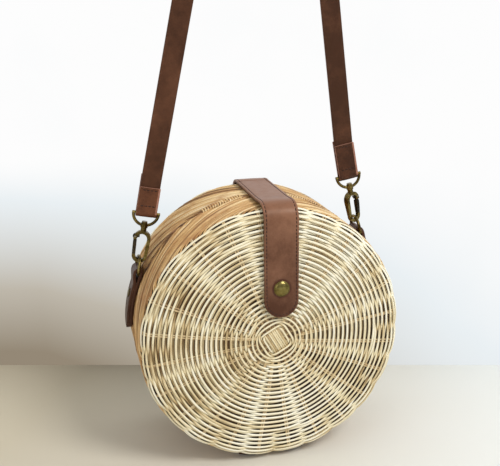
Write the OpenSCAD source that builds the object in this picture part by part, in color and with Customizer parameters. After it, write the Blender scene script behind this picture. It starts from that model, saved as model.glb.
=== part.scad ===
// A round woven cane bag: two half shells on leather hinges, a snap strap that closes them,
// and a leather shoulder strap that clips to a ring on each side.

/* [Bag] */
// Diameter of the bag
bag_d = 200; // [180:5:220]
// Depth of the front half, from the seam to where its edge turns
front_depth = 36.7; // [34:0.1:42]
// Depth of the rear half, from the seam to where its edge turns
rear_depth = 40.7; // [38:0.1:46]
// Radius of the turned edge of each half
edge_r = 8; // [7:0.5:9]
// Rise of each woven face above its edge
dome_h = 3.7; // [2.5:0.1:5]
// Thickness of the woven wall
wall_t = 3.2; // [2.6:0.1:3.4]
// Gap between the two halves at the seam
seam_gap = 0.6; // [0.4:0.1:1]
// Diameter of the rod in the rim of each half
rim_rod_d = 4.5; // [4:0.1:5]

/* [Weave] */
// Diameter of a course of reed
reed_d = 2.2; // [1.6:0.1:2.6]
// Distance from one course of reed to the next
reed_pitch = 3.65; // [3:0.05:5]
// How far a course of reed stands proud of the face
reed_rise = 0.5; // [0.3:0.1:0.7]
// Radius of the first course round the crossed reeds
first_course_r = 13.5; // [12.5:0.5:16]
// Number of pairs of stakes in each half
stake_pairs = 24; // [16:1:28]
// Diameter of a stake
stake_d = 1.5; // [1.2:0.1:1.8]
// Side of the square of crossed reeds at the centre of a face
cross_w = 15; // [12:0.5:17]
// Number of reeds across that square
cross_reeds = 8; // [6:1:9]
// Turn of the crossed reeds
cross_turn = 120; // [0:5:180]

/* [Closure strap] */
// Width of the closure strap
flap_w = 25.5; // [20:0.5:30]
// Distance of the closure strap to the right of the middle
flap_x = 2.7; // [0:0.1:6]
// How far the tip of the closure strap hangs below the top of the bag
flap_drop = 80.5; // [74:0.5:84]
// Thickness of its outer leather
flap_outer_t = 1.4; // [1.2:0.1:1.8]
// Thickness of its lining
flap_lining_t = 1; // [0.9:0.1:1.4]
// Gap between the closure strap and the weave
flap_gap = 0.7; // [0.6:0.1:1]
// Distance of its bend behind the middle of the bag
flap_bend_y = 30; // [24:1:34]
// How far the riveted tail of the strap reaches below the top of the bag
tail_drop = 42; // [34:1:48]

/* [Press stud] */
// Distance of the press stud below the top of the bag
snap_drop = 58.5; // [52:0.5:64]
// Diameter of its cap
cap_d = 11.8; // [10:0.2:13]
// Diameter of its socket
socket_d = 8.8; // [8:0.2:9.6]
// Diameter of the bead on its stud
bead_d = 4.2; // [3.8:0.1:4.8]

/* [Bottom hinges] */
// Distance of each leather hinge from the middle
hinge_x = 19; // [17:0.5:24]
// Width of a leather hinge
hinge_w = 14; // [10:0.5:16]
// Length of each half of a leather hinge
hinge_leaf = 36; // [26:1:36]
// Thickness of its leather
hinge_t = 2; // [1.6:0.1:2.4]

/* [Side tabs] */
// Angle of the left tab's ring, from the right hand side of the bag
left_tab_angle = 155; // [140:0.5:158]
// Angle of the right tab's ring, from the right hand side of the bag
right_tab_angle = 38; // [28:0.5:40]
// Width of a tab
tab_w = 15; // [12:0.5:15]
// Length of a tab below its ring
tab_len = 47; // [36:1:52]
// Thickness of each layer of a tab
tab_t = 2.2; // [1.8:0.1:2.4]
// Distance of the tabs behind the seam of the two halves
tab_behind = 8; // [8:0.5:12]
// Diameter of the wire of a ring
ring_wire = 2.5; // [2:0.1:3]
// Radius of the round part of a ring
ring_r = 8.9; // [8.9:0.1:10]
// Length of the straight legs of a ring
ring_leg = 2; // [1:0.1:4]
// Lean of each ring towards the bag
ring_lean = 10; // [5:1:15]

/* [Hooks] */
// Lean of each hook towards the middle of the bag
hook_lean = 11; // [8:0.5:14]
// Turn of the left hook about its own axis
left_hook_turn = -12; // [-30:1:30]
// Turn of the right hook about its own axis
right_hook_turn = 24; // [-30:1:35]
// Height from the bottom bar of a hook to its swivel
hook_h = 28; // [27:0.5:32]
// Thickness of the bottom bar of a hook, and of its sides
hook_bar = 2.5; // [2.2:0.1:2.8]
// Outer radius of the bottom of a hook
hook_low_r = 5.8; // [5.2:0.1:6.2]
// Outer radius of the top of a hook
hook_top_r = 6.4; // [6:0.1:7]
// Thickness of a hook from front to back
hook_t = 4.2; // [3.6:0.1:4.6]
// Thickness of its bottom bar from front to back
hook_low_t = 2.6; // [2.4:0.1:3]
// Diameter of the pin that a gate turns on
gate_pin_d = 1.4; // [1.2:0.1:1.6]
// Diameter of the swivel post
post_d = 2.2; // [2:0.1:2.6]

/* [Shoulder strap] */
// Width of the shoulder strap
strap_w = 15; // [12:0.5:15]
// Thickness of the shoulder strap
strap_t = 2; // [1.6:0.1:2.3]
// Height of the top of its loop, inside, above the centre of the bag
loop_top = 496; // [400:5:600]
// Distance of the top of its loop to the right of the middle
loop_x = 9; // [0:1:15]
// Radius that the strap bends over at the top
hang_r = 11; // [8:1:16]
// Height of its lower stretch that faces straight forward
flat_stretch = 150; // [60:5:200]
// Length of the folded end piece, in front
end_len = 26; // [20:1:34]
// How much longer the end piece is behind
end_extra = 3; // [1:0.5:5]
// Thickness of the leather of an end piece
end_t = 1.6; // [1.2:0.1:2]
// Diameter of the wire of a hook's eye
eye_wire = 2.3; // [2:0.1:2.5]
// Radius of the round part of a hook's eye
eye_r = 9.4; // [9.4:0.1:10.5]

/* [Rivets] */
// Diameter of a rivet's head
rivet_head_d = 7; // [6:0.2:8]
// Diameter of a rivet's shank
rivet_d = 2.4; // [2:0.1:3]
// Height of a rivet's head
rivet_head_h = 1.1; // [0.8:0.1:1.4]

/* [Hidden] */

// Fits and overruns
cut = 1;
run_fit = 0.06;
rest_gap = 0.1;
seat_gap = 0.3;
$fn = 48;
fine_fn = 720;

// Half shells
bag_r = bag_d / 2;
flat_r = bag_r - edge_r;
dome_turn = 2 * atan(dome_h / flat_r);
dome_r = edge_r + flat_r / sin(dome_turn);
dome_drop = (dome_r - edge_r) * cos(dome_turn);
seam_y = (front_depth - rear_depth) / 2;
front_turn_y = seam_y - seam_gap / 2 - front_depth;
rear_turn_y = seam_y + seam_gap / 2 + rear_depth;
tab_y = seam_y + tab_behind;
rod_r = rim_rod_d / 2;
rod_ring_r = bag_r - rod_r;
face_rise = edge_r + dome_h;
reed_sink = reed_d / 2 - reed_rise;

// Stakes
stake_sink = wall_t + rest_gap + stake_d / 2;
stake_pair_gap = stake_d * 0.42;
stake_start_turn = asin(first_course_r / dome_r);
stake_end_h = rim_rod_d + seat_gap;

// Crossed reeds
cross_pitch = cross_w / cross_reeds;
cross_reed_d = cross_pitch - rest_gap;
cross_sink = cross_reed_d * 0.6;

// Closure strap
flap_tip_z = bag_r - flap_drop;
tail_end_z = bag_r - tail_drop;
snap_z = bag_r - snap_drop;
flap_t = flap_outer_t + flap_lining_t;
bend_r = flap_t / 4;
bend_z = bag_r + flap_gap + flap_t - bend_r;
bend_clear = bend_r + seat_gap;
face_centre_y = front_turn_y + dome_drop;
rear_centre_y = rear_turn_y - dome_drop;
edge_span = 90 - dome_turn;
tail_rivet_z = [tail_end_z + rivet_head_d, tail_end_z + 3 * rivet_head_d];

// Press stud, measured outwards from the weave
snap_turn = asin(snap_z / dome_r);
stud_back_h = stake_sink + stake_d / 2 + rest_gap;
flange_d = socket_d + rivet_head_h;
flange_h = flap_gap * 0.8;
bead_neck_h = flange_h + 0.9 * flap_gap;
bead_top_h = flap_gap + flap_lining_t + rest_gap;
socket_low_h = flange_h + 2 * rest_gap;
socket_top_h = flap_gap + flap_t * 0.625;
cap_low_h = flap_gap + flap_t + rest_gap / 2;
cap_rise = cap_d * 0.13;
cap_rim_h = cap_d * 0.05;

// Bottom hinges
hinge_in_r = bag_r + seat_gap + rest_gap;
hinge_out_r = hinge_in_r + hinge_t;
hinge_axis_z = -(bag_r - rod_r * 0.27);
knuckle_r = hinge_t * 0.55;
hinge_rivet_h = hinge_leaf * 0.62;
hinge_angle = asin(hinge_x / hinge_out_r);

// Side tabs and rings
tab_in_r = bag_r + seat_gap;
tab_out_r = tab_in_r + 2 * tab_t;
tab_eye_r = ring_wire / 2 + run_fit + tab_t;
ring_bar_r = tab_in_r + tab_eye_r + seat_gap;
tab_fold_turn = asin(3 * tab_eye_r / tab_out_r);
tab_turn = tab_len / tab_out_r * 180 / PI;
tab_rivet_turn = 0.4 * tab_turn;
tab_round_r = tab_w * 0.53;
tab_from_seam = tab_behind - seam_gap / 2;
contact_gap = 0.8;
wire_end_share = 0.9;
ring_reach = ring_leg + ring_r - ring_wire / 2 - contact_gap - hook_bar / 2;

// Hooks, in a frame that stands on the bottom bar and rises to the swivel
low_v = hook_low_r - hook_bar / 2;
top_v = hook_h - post_d - hook_top_r * 1.28;
pivot_u = hook_top_r - hook_bar / 2;
pivot_v = top_v + hook_bar * 0.55;
gate_knuckle_r = 2;
gate_tongue_t = hook_t * 0.45;
gate_t = hook_t * 0.84;
nose_v = hook_bar / 2 + contact_gap + ring_wire + hook_bar * 0.18;
heel_reach = pivot_u * 0.6;
heel_t = gate_knuckle_r * 0.6;
slot_r = gate_knuckle_r + 0.4 * gate_knuckle_r;
spring_r = 0.55;
spring_hole_r = 0.3;
spring_u = pivot_u - heel_reach + spring_r;
spring_low_v = pivot_v + heel_t / 2 + run_fit;
spring_top_v = top_v + hook_top_r * 0.7;
boss_r = post_d * 1.25;
boss_h = 3.2;
head_h = 1.4;
head_r = post_d * 0.95;
neck_r = post_d;
eye_bar_v = hook_h + eye_r;

// Shoulder strap
end_in = eye_wire / 2 + rest_gap;
end_w = strap_w + 4 * rest_gap;
strap_start_v = eye_bar_v + eye_wire;
end_top_v = eye_bar_v + end_len;
strap_bend_r = hang_r + strap_t / 2;
loop_centre = [loop_x, loop_top - hang_r];
leg_rings = 20;
arc_rings = 14;

// Places of the ring bar, of the hook's bottom bar, and of a height v on a hook, in the plane of the tabs
function side_angle(s) = s < 0 ? left_tab_angle : right_tab_angle;
function bar_point(s) = ring_bar_r * [cos(side_angle(s)), sin(side_angle(s))];
function contact_point(s) = bar_point(s) + ring_reach * [-s * sin(ring_lean), cos(ring_lean)];
function hook_point(s, v) = contact_point(s) + v * [-s * sin(hook_lean), cos(hook_lean)];

// Point where a line from p touches the circle that the strap bends over, on side s
function touch_angle(p, s) =
    let (d = p - loop_centre, away = atan2(d[1], d[0]), half = acos(strap_bend_r / norm(d)))
    s > 0 ? away + half : away - half;
function on_bend(a) = loop_centre + strap_bend_r * [cos(a), sin(a)];

// Each ring of the strap is its centre, the direction of its width across the loop, and its twist
function smooth(q) = q * q * (3 - 2 * q);
function leg_twist(q, span) =
    let (start = flat_stretch / span) smooth(max(0, (q - start) / (1 - start))) * 90;
function leg_ring(s, q) =
    let (p0 = hook_point(s, end_top_v), p1 = on_bend(touch_angle(p0, s)), d = p1 - p0)
    [p0 + q * d, s * atan2(d[1], s * -d[0]), leg_twist(q, norm(d))];

module on_bag() translate([-loop_x, -tab_y, -loop_top]) children();
module front_place() translate([0, seam_y - seam_gap / 2, 0]) rotate([90, 0, 0]) children();
module rear_place() translate([0, seam_y + seam_gap / 2, 0]) mirror([0, 1, 0]) rotate([90, 0, 0]) children();
module side_plane(p) translate([p[0], tab_y, p[1]]) children();
module at_hook(s) {
    turn = s < 0 ? -left_hook_turn : right_hook_turn;
    side_plane(contact_point(s)) rotate([0, -s * hook_lean, 0])
        mirror([s < 0 ? 1 : 0, 0, 0]) rotate([0, 0, turn]) children();
}
module at_eye(s) side_plane(hook_point(s, 0)) rotate([0, -s * hook_lean, 0]) children();

// Triangle that keeps the part of a circle between two directions
module wedge(a0, a1, reach) {
    polygon([[0, 0], reach * [cos(a0), sin(a0)], reach * [cos(a1), sin(a1)]]);
}

// All that lies inside one half, radius to the right and distance from the seam upwards, grown by a distance
module half_profile(depth, out) {
    square([bag_r + out, depth]);
    translate([flat_r, depth]) circle(r = edge_r + out, $fn = 96);
    translate([0, depth - dome_drop]) intersection() {
        circle(r = dome_r + out, $fn = fine_fn);
        wedge(edge_span, 90, 2 * dome_r);
    }
}

// Section of one half shell, with a course of reed every few millimetres
module shell_section(depth) {
    courses = floor((flat_r - first_course_r) / reed_pitch);
    edge_courses = floor(edge_r * edge_span * PI / 180 / reed_pitch);
    difference() {
        half_profile(depth, 0);
        half_profile(depth, -wall_t);
        square([bag_d, rod_r]);
        translate([rod_ring_r, rod_r]) circle(r = rod_r + rest_gap);
    }
    for (k = [0:courses]) {
        turn = asin((first_course_r + k * reed_pitch) / dome_r);
        translate([0, depth - dome_drop] + (dome_r - reed_sink) * [sin(turn), cos(turn)]) circle(d = reed_d);
    }
    for (k = [1:edge_courses]) {
        turn = edge_span - k * reed_pitch / edge_r * 180 / PI;
        translate([flat_r, depth] + (edge_r - reed_sink) * [cos(turn), sin(turn)]) circle(d = reed_d);
    }
}

// Woven half with its pocket for the crossed reeds
module half_shell(depth, turn) {
    difference() {
        rotate_extrude($fn = 180) intersection() {
            shell_section(depth);
            square([bag_d, bag_d]);
        }
        rotate([0, 0, turn]) translate([0, 0, depth + face_rise - cross_sink + cross_w / 2])
            cube([cross_w + 2 * seat_gap, cross_w + 2 * seat_gap, cross_w], center = true);
    }
}

// A radial hole, and a rivet that fills it, at an angle round the wall and a distance from the seam
module at_wall(angle, h) rotate([0, 0, angle]) translate([0, 0, h]) rotate([0, 90, 0]) children();
module wall_hole(angle, h) at_wall(angle, h) translate([0, 0, bag_r - 2 * wall_t])
    cylinder(d = rivet_d + 2 * run_fit, h = 4 * wall_t + 2 * tab_t);
module rivet(out_h, in_h) {
    rise = rivet_head_h * 0.4;
    curve_r = (rivet_head_d * rivet_head_d / 4 + rise * rise) / (2 * rise);
    translate([0, 0, in_h]) cylinder(d = rivet_d, h = out_h - in_h + rise);
    translate([0, 0, out_h]) intersection() {
        cylinder(d = rivet_head_d, h = rivet_head_h);
        translate([0, 0, rivet_head_h - curve_r]) sphere(r = curve_r, $fn = 96);
    }
    translate([0, 0, in_h - rivet_head_h]) cylinder(d = rivet_head_d, h = rivet_head_h);
}
module wall_rivet(angle, h, out_r) at_wall(angle, h) rivet(out_r + rest_gap, bag_r - wall_t - 2 * rest_gap);

module stakes(depth) {
    mid = stake_sink;
    for (k = [0:stake_pairs - 1]) rotate([0, 0, (k + 0.5) * 360 / stake_pairs]) {
        translate([0, 0, stake_end_h]) linear_extrude(depth - stake_end_h)
            translate([bag_r - mid, 0]) stake_pair_section();
        translate([0, 0, depth]) translate([flat_r, 0, 0]) rotate([90, 0, 0])
            rotate_extrude(angle = edge_span) translate([edge_r - mid, 0]) stake_pair_section();
        translate([0, 0, depth - dome_drop]) rotate([90, 0, 0]) rotate([0, 0, edge_span])
            rotate_extrude(angle = dome_turn - stake_start_turn, $fn = fine_fn)
                translate([dome_r - mid, 0]) stake_pair_section();
    }
}
module stake_pair_section() {
    for (side = [-1, 1]) translate([0, side * stake_pair_gap]) circle(d = stake_d, $fn = 24);
}

module rim_rod() translate([0, 0, rod_r]) rotate_extrude($fn = 180) translate([rod_ring_r, 0]) circle(r = rod_r);

module cross(depth, turn) {
    base_h = depth + face_rise - cross_sink + rest_gap;
    rotate([0, 0, turn]) for (k = [0:cross_reeds - 1])
        translate([(k + 0.5) * cross_pitch - cross_w / 2, cross_w / 2, base_h + cross_reed_d / 2])
            rotate([90, 0, 0]) cylinder(d = cross_reed_d, h = cross_w);
}

// Rear half
module rear_shell() {
    color("wheat") on_bag() rear_place() difference() {
        half_shell(rear_depth, -cross_turn);
        wall_hole(left_tab_angle + tab_rivet_turn, tab_from_seam);
        wall_hole(right_tab_angle - tab_rivet_turn, tab_from_seam);
        for (side = [-1, 1]) wall_hole(-90 + side * hinge_angle, hinge_rivet_h);
        for (z = tail_rivet_z) translate([flap_x, z, rear_depth]) cylinder(d = rivet_d + 2 * run_fit, h = bag_r);
    }
}
module rear_stakes() color("tan") on_bag() rear_place() stakes(rear_depth);
module rear_rim_rod() color("burlywood") on_bag() rear_place() rim_rod();
module rear_cross() color("cornsilk") on_bag() rear_place() cross(rear_depth, -cross_turn);

// Front half
module front_shell() {
    color("wheat") on_bag() difference() {
        front_place() difference() {
            half_shell(front_depth, cross_turn);
            for (side = [-1, 1]) wall_hole(-90 + side * hinge_angle, hinge_rivet_h);
        }
        at_snap() cylinder(d = flange_d + 2 * rest_gap, h = face_rise);
        at_snap() translate([0, 0, -2 * wall_t]) cylinder(d = rivet_d + 2 * run_fit, h = 3 * wall_t);
    }
}
module front_stakes() color("tan") on_bag() front_place() stakes(front_depth);
module front_rim_rod() color("burlywood") on_bag() front_place() rim_rod();
module front_cross() color("cornsilk") on_bag() front_place() cross(front_depth, cross_turn);

// Closure strap: its path in the plane of y and z, between two heights above the weave
module flap_extrude() {
    translate([flap_x - flap_w / 2, 0, 0]) rotate([90, 0, 90]) linear_extrude(flap_w) children();
}
module over_half(depth, low, high) {
    difference() {
        half_profile(depth, high);
        half_profile(depth, low);
    }
}
module front_path(low, high) {
    difference() {
        union() {
            translate([seam_y - seam_gap / 2, 0]) rotate(90) over_half(front_depth, low, high);
            translate([front_turn_y, bag_r + low]) square([flap_bend_y - seat_gap - front_turn_y, high - low]);
        }
        translate([flap_bend_y, bend_z]) circle(r = bend_clear);
    }
}
module rear_path(low, high) {
    difference() {
        translate([seam_y + seam_gap / 2, 0]) mirror([1, 0]) rotate(90) over_half(rear_depth, low, high);
        translate([flap_bend_y - bag_d, -bag_r]) square([bag_d, bag_d + tail_end_z + bag_r]);
        translate([0, -bag_r]) square([bag_d, bag_r + tail_end_z]);
        translate([flap_bend_y, bend_z]) polygon([[-bend_clear, 0], [bend_clear, 0],
            [3 * bend_clear, 2 * bend_clear], [-bend_clear, 2 * bend_clear]]);
    }
    translate([flap_bend_y, bend_z]) circle(r = bend_r);
}
module tip_outline() {
    translate([flap_x - flap_w / 2, flap_tip_z + flap_w / 2]) square([flap_w, bag_d]);
    translate([flap_x, flap_tip_z + flap_w / 2]) circle(d = flap_w, $fn = 96);
}
module closure_layer(low, high) {
    intersection() {
        flap_extrude() front_path(low, high);
        translate([0, flap_bend_y + cut, 0]) rotate([90, 0, 0]) linear_extrude(bag_d) tip_outline();
    }
}
module closure_strap() {
    color("sienna") on_bag() difference() {
        closure_layer(flap_gap + flap_lining_t + run_fit, flap_gap + flap_t);
        at_snap() cylinder(d = rivet_d + 2 * run_fit, h = 2 * face_rise);
        at_snap() cylinder(d = socket_d + 2 * run_fit, h = socket_top_h + run_fit);
    }
}
module closure_lining() {
    color("saddlebrown") on_bag() difference() {
        closure_layer(flap_gap, flap_gap + flap_lining_t);
        at_snap() cylinder(d = socket_d + 2 * run_fit, h = socket_top_h);
    }
}
module closure_tail() {
    color("sienna") on_bag() difference() {
        flap_extrude() rear_path(flap_gap, flap_gap + flap_t);
        for (z = tail_rivet_z) translate([flap_x, rear_turn_y, z]) rotate([-90, 0, 0])
            cylinder(d = rivet_d + 2 * run_fit, h = bag_r);
    }
}
module tail_rivets() {
    color("darkgoldenrod") on_bag() for (z = tail_rivet_z) {
        turn = asin(z / dome_r);
        face_y = rear_centre_y + dome_r * cos(turn);
        translate([flap_x, face_y, z]) rotate([-90, 0, 0])
            rivet(flap_gap + flap_t + seat_gap, -wall_t - seat_gap);
    }
}

// Press stud
module at_snap() translate([flap_x, face_centre_y, 0]) rotate([90 - snap_turn, 0, 0])
    translate([0, 0, dome_r]) children();
module snap_cap() {
    curve_r = (cap_d * cap_d / 4 + cap_rise * cap_rise) / (2 * cap_rise);
    color("darkgoldenrod") on_bag() at_snap() {
        translate([0, 0, cap_low_h]) cylinder(d = cap_d, h = cap_rim_h);
        translate([0, 0, cap_low_h + cap_rim_h]) intersection() {
            cylinder(d = cap_d - 2 * cap_rim_h, h = cap_d);
            translate([0, 0, cap_rise - curve_r]) sphere(r = curve_r, $fn = 96);
        }
        translate([0, 0, socket_top_h + run_fit - rest_gap]) cylinder(d = rivet_d, h = cap_low_h - socket_top_h + rest_gap);
    }
}
module snap_socket() {
    color("peru") on_bag() at_snap() difference() {
        translate([0, 0, socket_low_h]) cylinder(d = socket_d, h = socket_top_h - socket_low_h);
        cylinder(d = bead_d + 2 * rest_gap, h = bead_top_h + rest_gap);
        cylinder(d = rivet_d + 2 * run_fit, h = cap_d);
    }
}
module snap_stud() {
    color("peru") on_bag() at_snap() {
        translate([0, 0, run_fit]) cylinder(d = flange_d, h = flange_h - run_fit);
        cylinder(d = bead_d * 0.8, h = bead_neck_h);
        translate([0, 0, bead_neck_h]) cylinder(d = bead_d, h = bead_top_h - bead_neck_h);
        translate([0, 0, -stud_back_h]) cylinder(d = rivet_d, h = stud_back_h + flange_h);
        translate([0, 0, -stud_back_h - rivet_head_h]) cylinder(d = flange_d, h = rivet_head_h);
    }
}

// Bottom hinges: a leaf on each half, and a rolled edge on the rear one that the front one turns about
module hinge_leaf_plan(side) {
    translate([side * hinge_x - hinge_w / 2, -2 * bag_r]) square([hinge_w, bag_r * 2 - hinge_x]);
}
module leaf_block(side, length) {
    linear_extrude(length) intersection() {
        difference() {
            circle(r = hinge_out_r, $fn = 360);
            circle(r = hinge_in_r, $fn = 360);
        }
        hinge_leaf_plan(side);
    }
}
module hinge_front(side) {
    color("saddlebrown") on_bag() difference() {
        front_place() difference() {
            translate([0, 0, -seam_gap / 4]) leaf_block(side, hinge_leaf);
            wall_hole(-90 + side * hinge_angle, hinge_rivet_h);
        }
        hinge_axis_bar(side, knuckle_r + seat_gap, cut);
        hinge_notch(side, -1);
    }
}
module hinge_rear(side) {
    color("saddlebrown") on_bag() {
        difference() {
            rear_place() difference() {
                translate([0, 0, -seam_gap / 4]) leaf_block(side, hinge_leaf);
                wall_hole(-90 + side * hinge_angle, hinge_rivet_h);
            }
            hinge_notch(side, 1);
        }
        intersection() {
            hinge_axis_bar(side, knuckle_r, 0);
            knuckle_room();
        }
    }
}
module hinge_axis_bar(side, r, extra) {
    translate([side * hinge_x - hinge_w / 2 - extra, seam_y, hinge_axis_z]) rotate([0, 90, 0])
        cylinder(r = r, h = hinge_w + 2 * extra);
}
module knuckle_room() translate([-bag_r, -bag_r, -2 * bag_r]) cube([2 * bag_r, 2 * bag_r, 2 * bag_r]);
module hinge_notch(side, away) {
    translate([side * hinge_x, seam_y, hinge_axis_z]) rotate([90, 0, 90])
        linear_extrude(hinge_w + 2 * cut, center = true)
            polygon([[0, 0], [away * 4 * hinge_t, -4 * hinge_t], [0, -4 * hinge_t]]);
}
module left_hinge_rear() hinge_rear(-1);
module right_hinge_rear() hinge_rear(1);
module left_hinge_front() hinge_front(-1);
module right_hinge_front() hinge_front(1);
module rear_hinge_rivets() {
    color("darkgoldenrod") on_bag() rear_place() for (side = [-1, 1])
        wall_rivet(-90 + side * hinge_angle, hinge_rivet_h, hinge_out_r);
}
module front_hinge_rivets() {
    color("darkgoldenrod") on_bag() front_place() for (side = [-1, 1])
        wall_rivet(-90 + side * hinge_angle, hinge_rivet_h, hinge_out_r);
}

// Side tab: a strip folded round the bar of its ring, drawn for the right hand side
module tab_slab() translate([0, tab_y + tab_w / 2, 0]) rotate([90, 0, 0]) linear_extrude(tab_w) children();
module tab_band(angle) {
    intersection() {
        difference() {
            circle(r = tab_out_r, $fn = fine_fn);
            circle(r = tab_in_r, $fn = fine_fn);
        }
        wedge(angle - tab_turn, angle, 2 * tab_out_r);
    }
}
module tab_fold_fill() {
    polygon([[ring_bar_r, tab_eye_r / 3], [ring_bar_r + tab_eye_r * 0.8, -tab_eye_r / 2],
        (tab_out_r - tab_t / 2) * [cos(tab_fold_turn), -sin(tab_fold_turn)],
        (tab_in_r + tab_t / 2) * [cos(tab_fold_turn), -sin(tab_fold_turn)]]);
}
module tab_corners(angle) {
    rotate([0, tab_turn - angle, 0]) translate([bag_r, tab_y, 0]) rotate([0, 90, 0])
        translate([rest_gap - tab_round_r, 0, -tab_w]) difference() {
            translate([0, -tab_w, 0]) cube([2 * tab_w, 2 * tab_w, 3 * tab_w]);
            translate([0, 0, -cut]) cylinder(r = tab_round_r, h = 3 * tab_w + 2 * cut);
        }
}
module tab_body(angle) {
    difference() {
        union() {
            tab_slab() tab_band(angle);
            tab_slab() rotate([0, 0, angle]) translate([ring_bar_r, 0]) circle(r = tab_eye_r);
            tab_slab() rotate([0, 0, angle]) tab_fold_fill();
        }
        side_plane(ring_bar_r * [cos(angle), sin(angle)]) rotate([90, 0, 0])
            cylinder(d = ring_wire + 2 * run_fit, h = 2 * tab_w, center = true);
        tab_corners(angle);
        rear_place() wall_hole(angle - tab_rivet_turn, tab_from_seam);
    }
}
module right_tab() color("saddlebrown") on_bag() tab_body(right_tab_angle);
module left_tab() color("saddlebrown") on_bag() mirror([1, 0, 0]) tab_body(180 - left_tab_angle);
module tab_rivets() {
    color("darkgoldenrod") on_bag() rear_place() {
        wall_rivet(left_tab_angle + tab_rivet_turn, tab_from_seam, tab_out_r);
        wall_rivet(right_tab_angle - tab_rivet_turn, tab_from_seam, tab_out_r);
    }
}

// A ring of round wire: a straight bar, two legs and a half circle that rises from them
module wire_ring(r, leg, wire) {
    rotate([0, 90, 0]) cylinder(d = wire, h = 2 * r + wire * wire_end_share, center = true);
    if (leg > 0) for (side = [-1, 1]) translate([side * r, 0, 0]) cylinder(d = wire, h = leg);
    translate([0, 0, leg]) rotate([90, 0, 0]) rotate_extrude(angle = 180) translate([r, 0]) circle(d = wire);
}
module side_ring(s) {
    color("darkkhaki") on_bag() side_plane(bar_point(s)) rotate([0, -s * ring_lean, 0])
        rotate([0, 0, 90]) wire_ring(ring_r, ring_leg, ring_wire);
}
module left_ring() side_ring(-1);
module right_ring() side_ring(1);

// Hook: a flat oval that narrows to its bottom bar, with a gate in its outer side
module oval(low_r, high_r) {
    lean = asin((high_r - low_r) / (top_v - low_v));
    translate([0, low_v]) circle(r = low_r);
    translate([0, top_v]) circle(r = high_r);
    polygon([[-low_r * cos(lean), low_v - low_r * sin(lean)], [low_r * cos(lean), low_v - low_r * sin(lean)],
        [high_r * cos(lean), top_v - high_r * sin(lean)], [-high_r * cos(lean), top_v - high_r * sin(lean)]]);
}
module hook_outline() {
    difference() {
        oval(hook_low_r, hook_top_r);
        oval(hook_low_r - hook_bar, hook_top_r - hook_bar);
    }
}
module slab(t) rotate([90, 0, 0]) linear_extrude(t, center = true) children();
module hook_side_profile() {
    polygon([[-hook_low_t / 2, -hook_bar], [hook_low_t / 2, -hook_bar], [hook_low_t / 2, nose_v],
        [hook_t / 2, pivot_v - gate_knuckle_r], [hook_t / 2, hook_h], [-hook_t / 2, hook_h],
        [-hook_t / 2, pivot_v - gate_knuckle_r], [-hook_low_t / 2, nose_v]]);
}
module hook_body(s) {
    shoulder_v = hook_h - boss_h / 2 - run_fit;
    color("darkkhaki") on_bag() at_hook(s) difference() {
        union() {
            intersection() {
                slab(2 * hook_t) hook_outline();
                rotate([90, 0, 90]) linear_extrude(4 * hook_top_r, center = true) hook_side_profile();
            }
            translate([0, 0, top_v + hook_top_r - hook_bar / 2])
                cylinder(r = neck_r, h = shoulder_v - top_v - hook_top_r + hook_bar / 2);
            translate([0, 0, shoulder_v - cut]) cylinder(d = post_d, h = boss_h + head_h + cut);
            translate([0, 0, hook_h + boss_h / 2 + run_fit]) cylinder(r = head_r, h = head_h);
        }
        translate([0, -hook_t, nose_v]) cube([2 * hook_top_r, 2 * hook_t, pivot_v - gate_knuckle_r - seat_gap - nose_v]);
        translate([pivot_u, 0, pivot_v]) rotate([90, 0, 0])
            cylinder(r = slot_r, h = gate_tongue_t + 2 * rest_gap, center = true);
        translate([pivot_u - hook_bar, -gate_tongue_t / 2 - rest_gap, pivot_v - 2 * gate_knuckle_r])
            cube([3 * hook_bar, gate_tongue_t + 2 * rest_gap, 2 * gate_knuckle_r]);
        translate([pivot_u, 0, pivot_v]) rotate([90, 0, 0]) cylinder(d = gate_pin_d + run_fit, h = 2 * hook_t, center = true);
        translate([spring_u, 0, spring_low_v]) cylinder(r = spring_r + rest_gap, h = spring_top_v - spring_low_v + run_fit);
    }
}
module gate(s) {
    gate_top_v = pivot_v - gate_knuckle_r - hook_bar / 2;
    color("dimgray") on_bag() at_hook(s) difference() {
        union() {
            intersection() {
                slab(gate_t) hook_outline();
                rotate([90, 0, 90]) linear_extrude(4 * hook_top_r, center = true) hook_side_profile();
                translate([0, -hook_t, nose_v + 2 * rest_gap]) cube([2 * hook_top_r, 2 * hook_t, gate_top_v - nose_v - 2 * rest_gap]);
            }
            slab(gate_tongue_t) {
                translate([pivot_u, pivot_v]) circle(r = gate_knuckle_r);
                translate([pivot_u - hook_bar * 0.45, gate_top_v - cut]) square([hook_bar * 0.9, pivot_v - gate_top_v + cut]);
                translate([pivot_u - heel_reach, pivot_v - heel_t / 2]) square([heel_reach, heel_t]);
            }
        }
        translate([pivot_u, 0, pivot_v]) rotate([90, 0, 0]) cylinder(d = gate_pin_d + 2 * run_fit, h = 2 * hook_t, center = true);
    }
}
module gate_pin(s) {
    color("silver") on_bag() at_hook(s) translate([pivot_u, 0, pivot_v]) rotate([90, 0, 0])
        cylinder(d = gate_pin_d, h = hook_t + 2 * rest_gap, center = true);
}
module gate_spring(s) {
    color("silver") on_bag() at_hook(s) translate([spring_u, 0, spring_low_v]) difference() {
        cylinder(r = spring_r, h = spring_top_v - spring_low_v);
        translate([0, 0, -cut]) cylinder(r = spring_hole_r, h = spring_top_v - spring_low_v + 2 * cut);
    }
}
module hook_eye(s) {
    color("darkkhaki") on_bag() at_eye(s) difference() {
        union() {
            translate([0, 0, eye_bar_v]) rotate([180, 0, 0]) wire_ring(eye_r, 0, eye_wire);
            translate([0, 0, hook_h]) cylinder(r = boss_r, h = boss_h, center = true);
        }
        translate([0, 0, hook_h]) cylinder(d = post_d + 2 * run_fit, h = 2 * boss_h, center = true);
    }
}
module left_hook_body() hook_body(-1);
module right_hook_body() hook_body(1);
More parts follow.
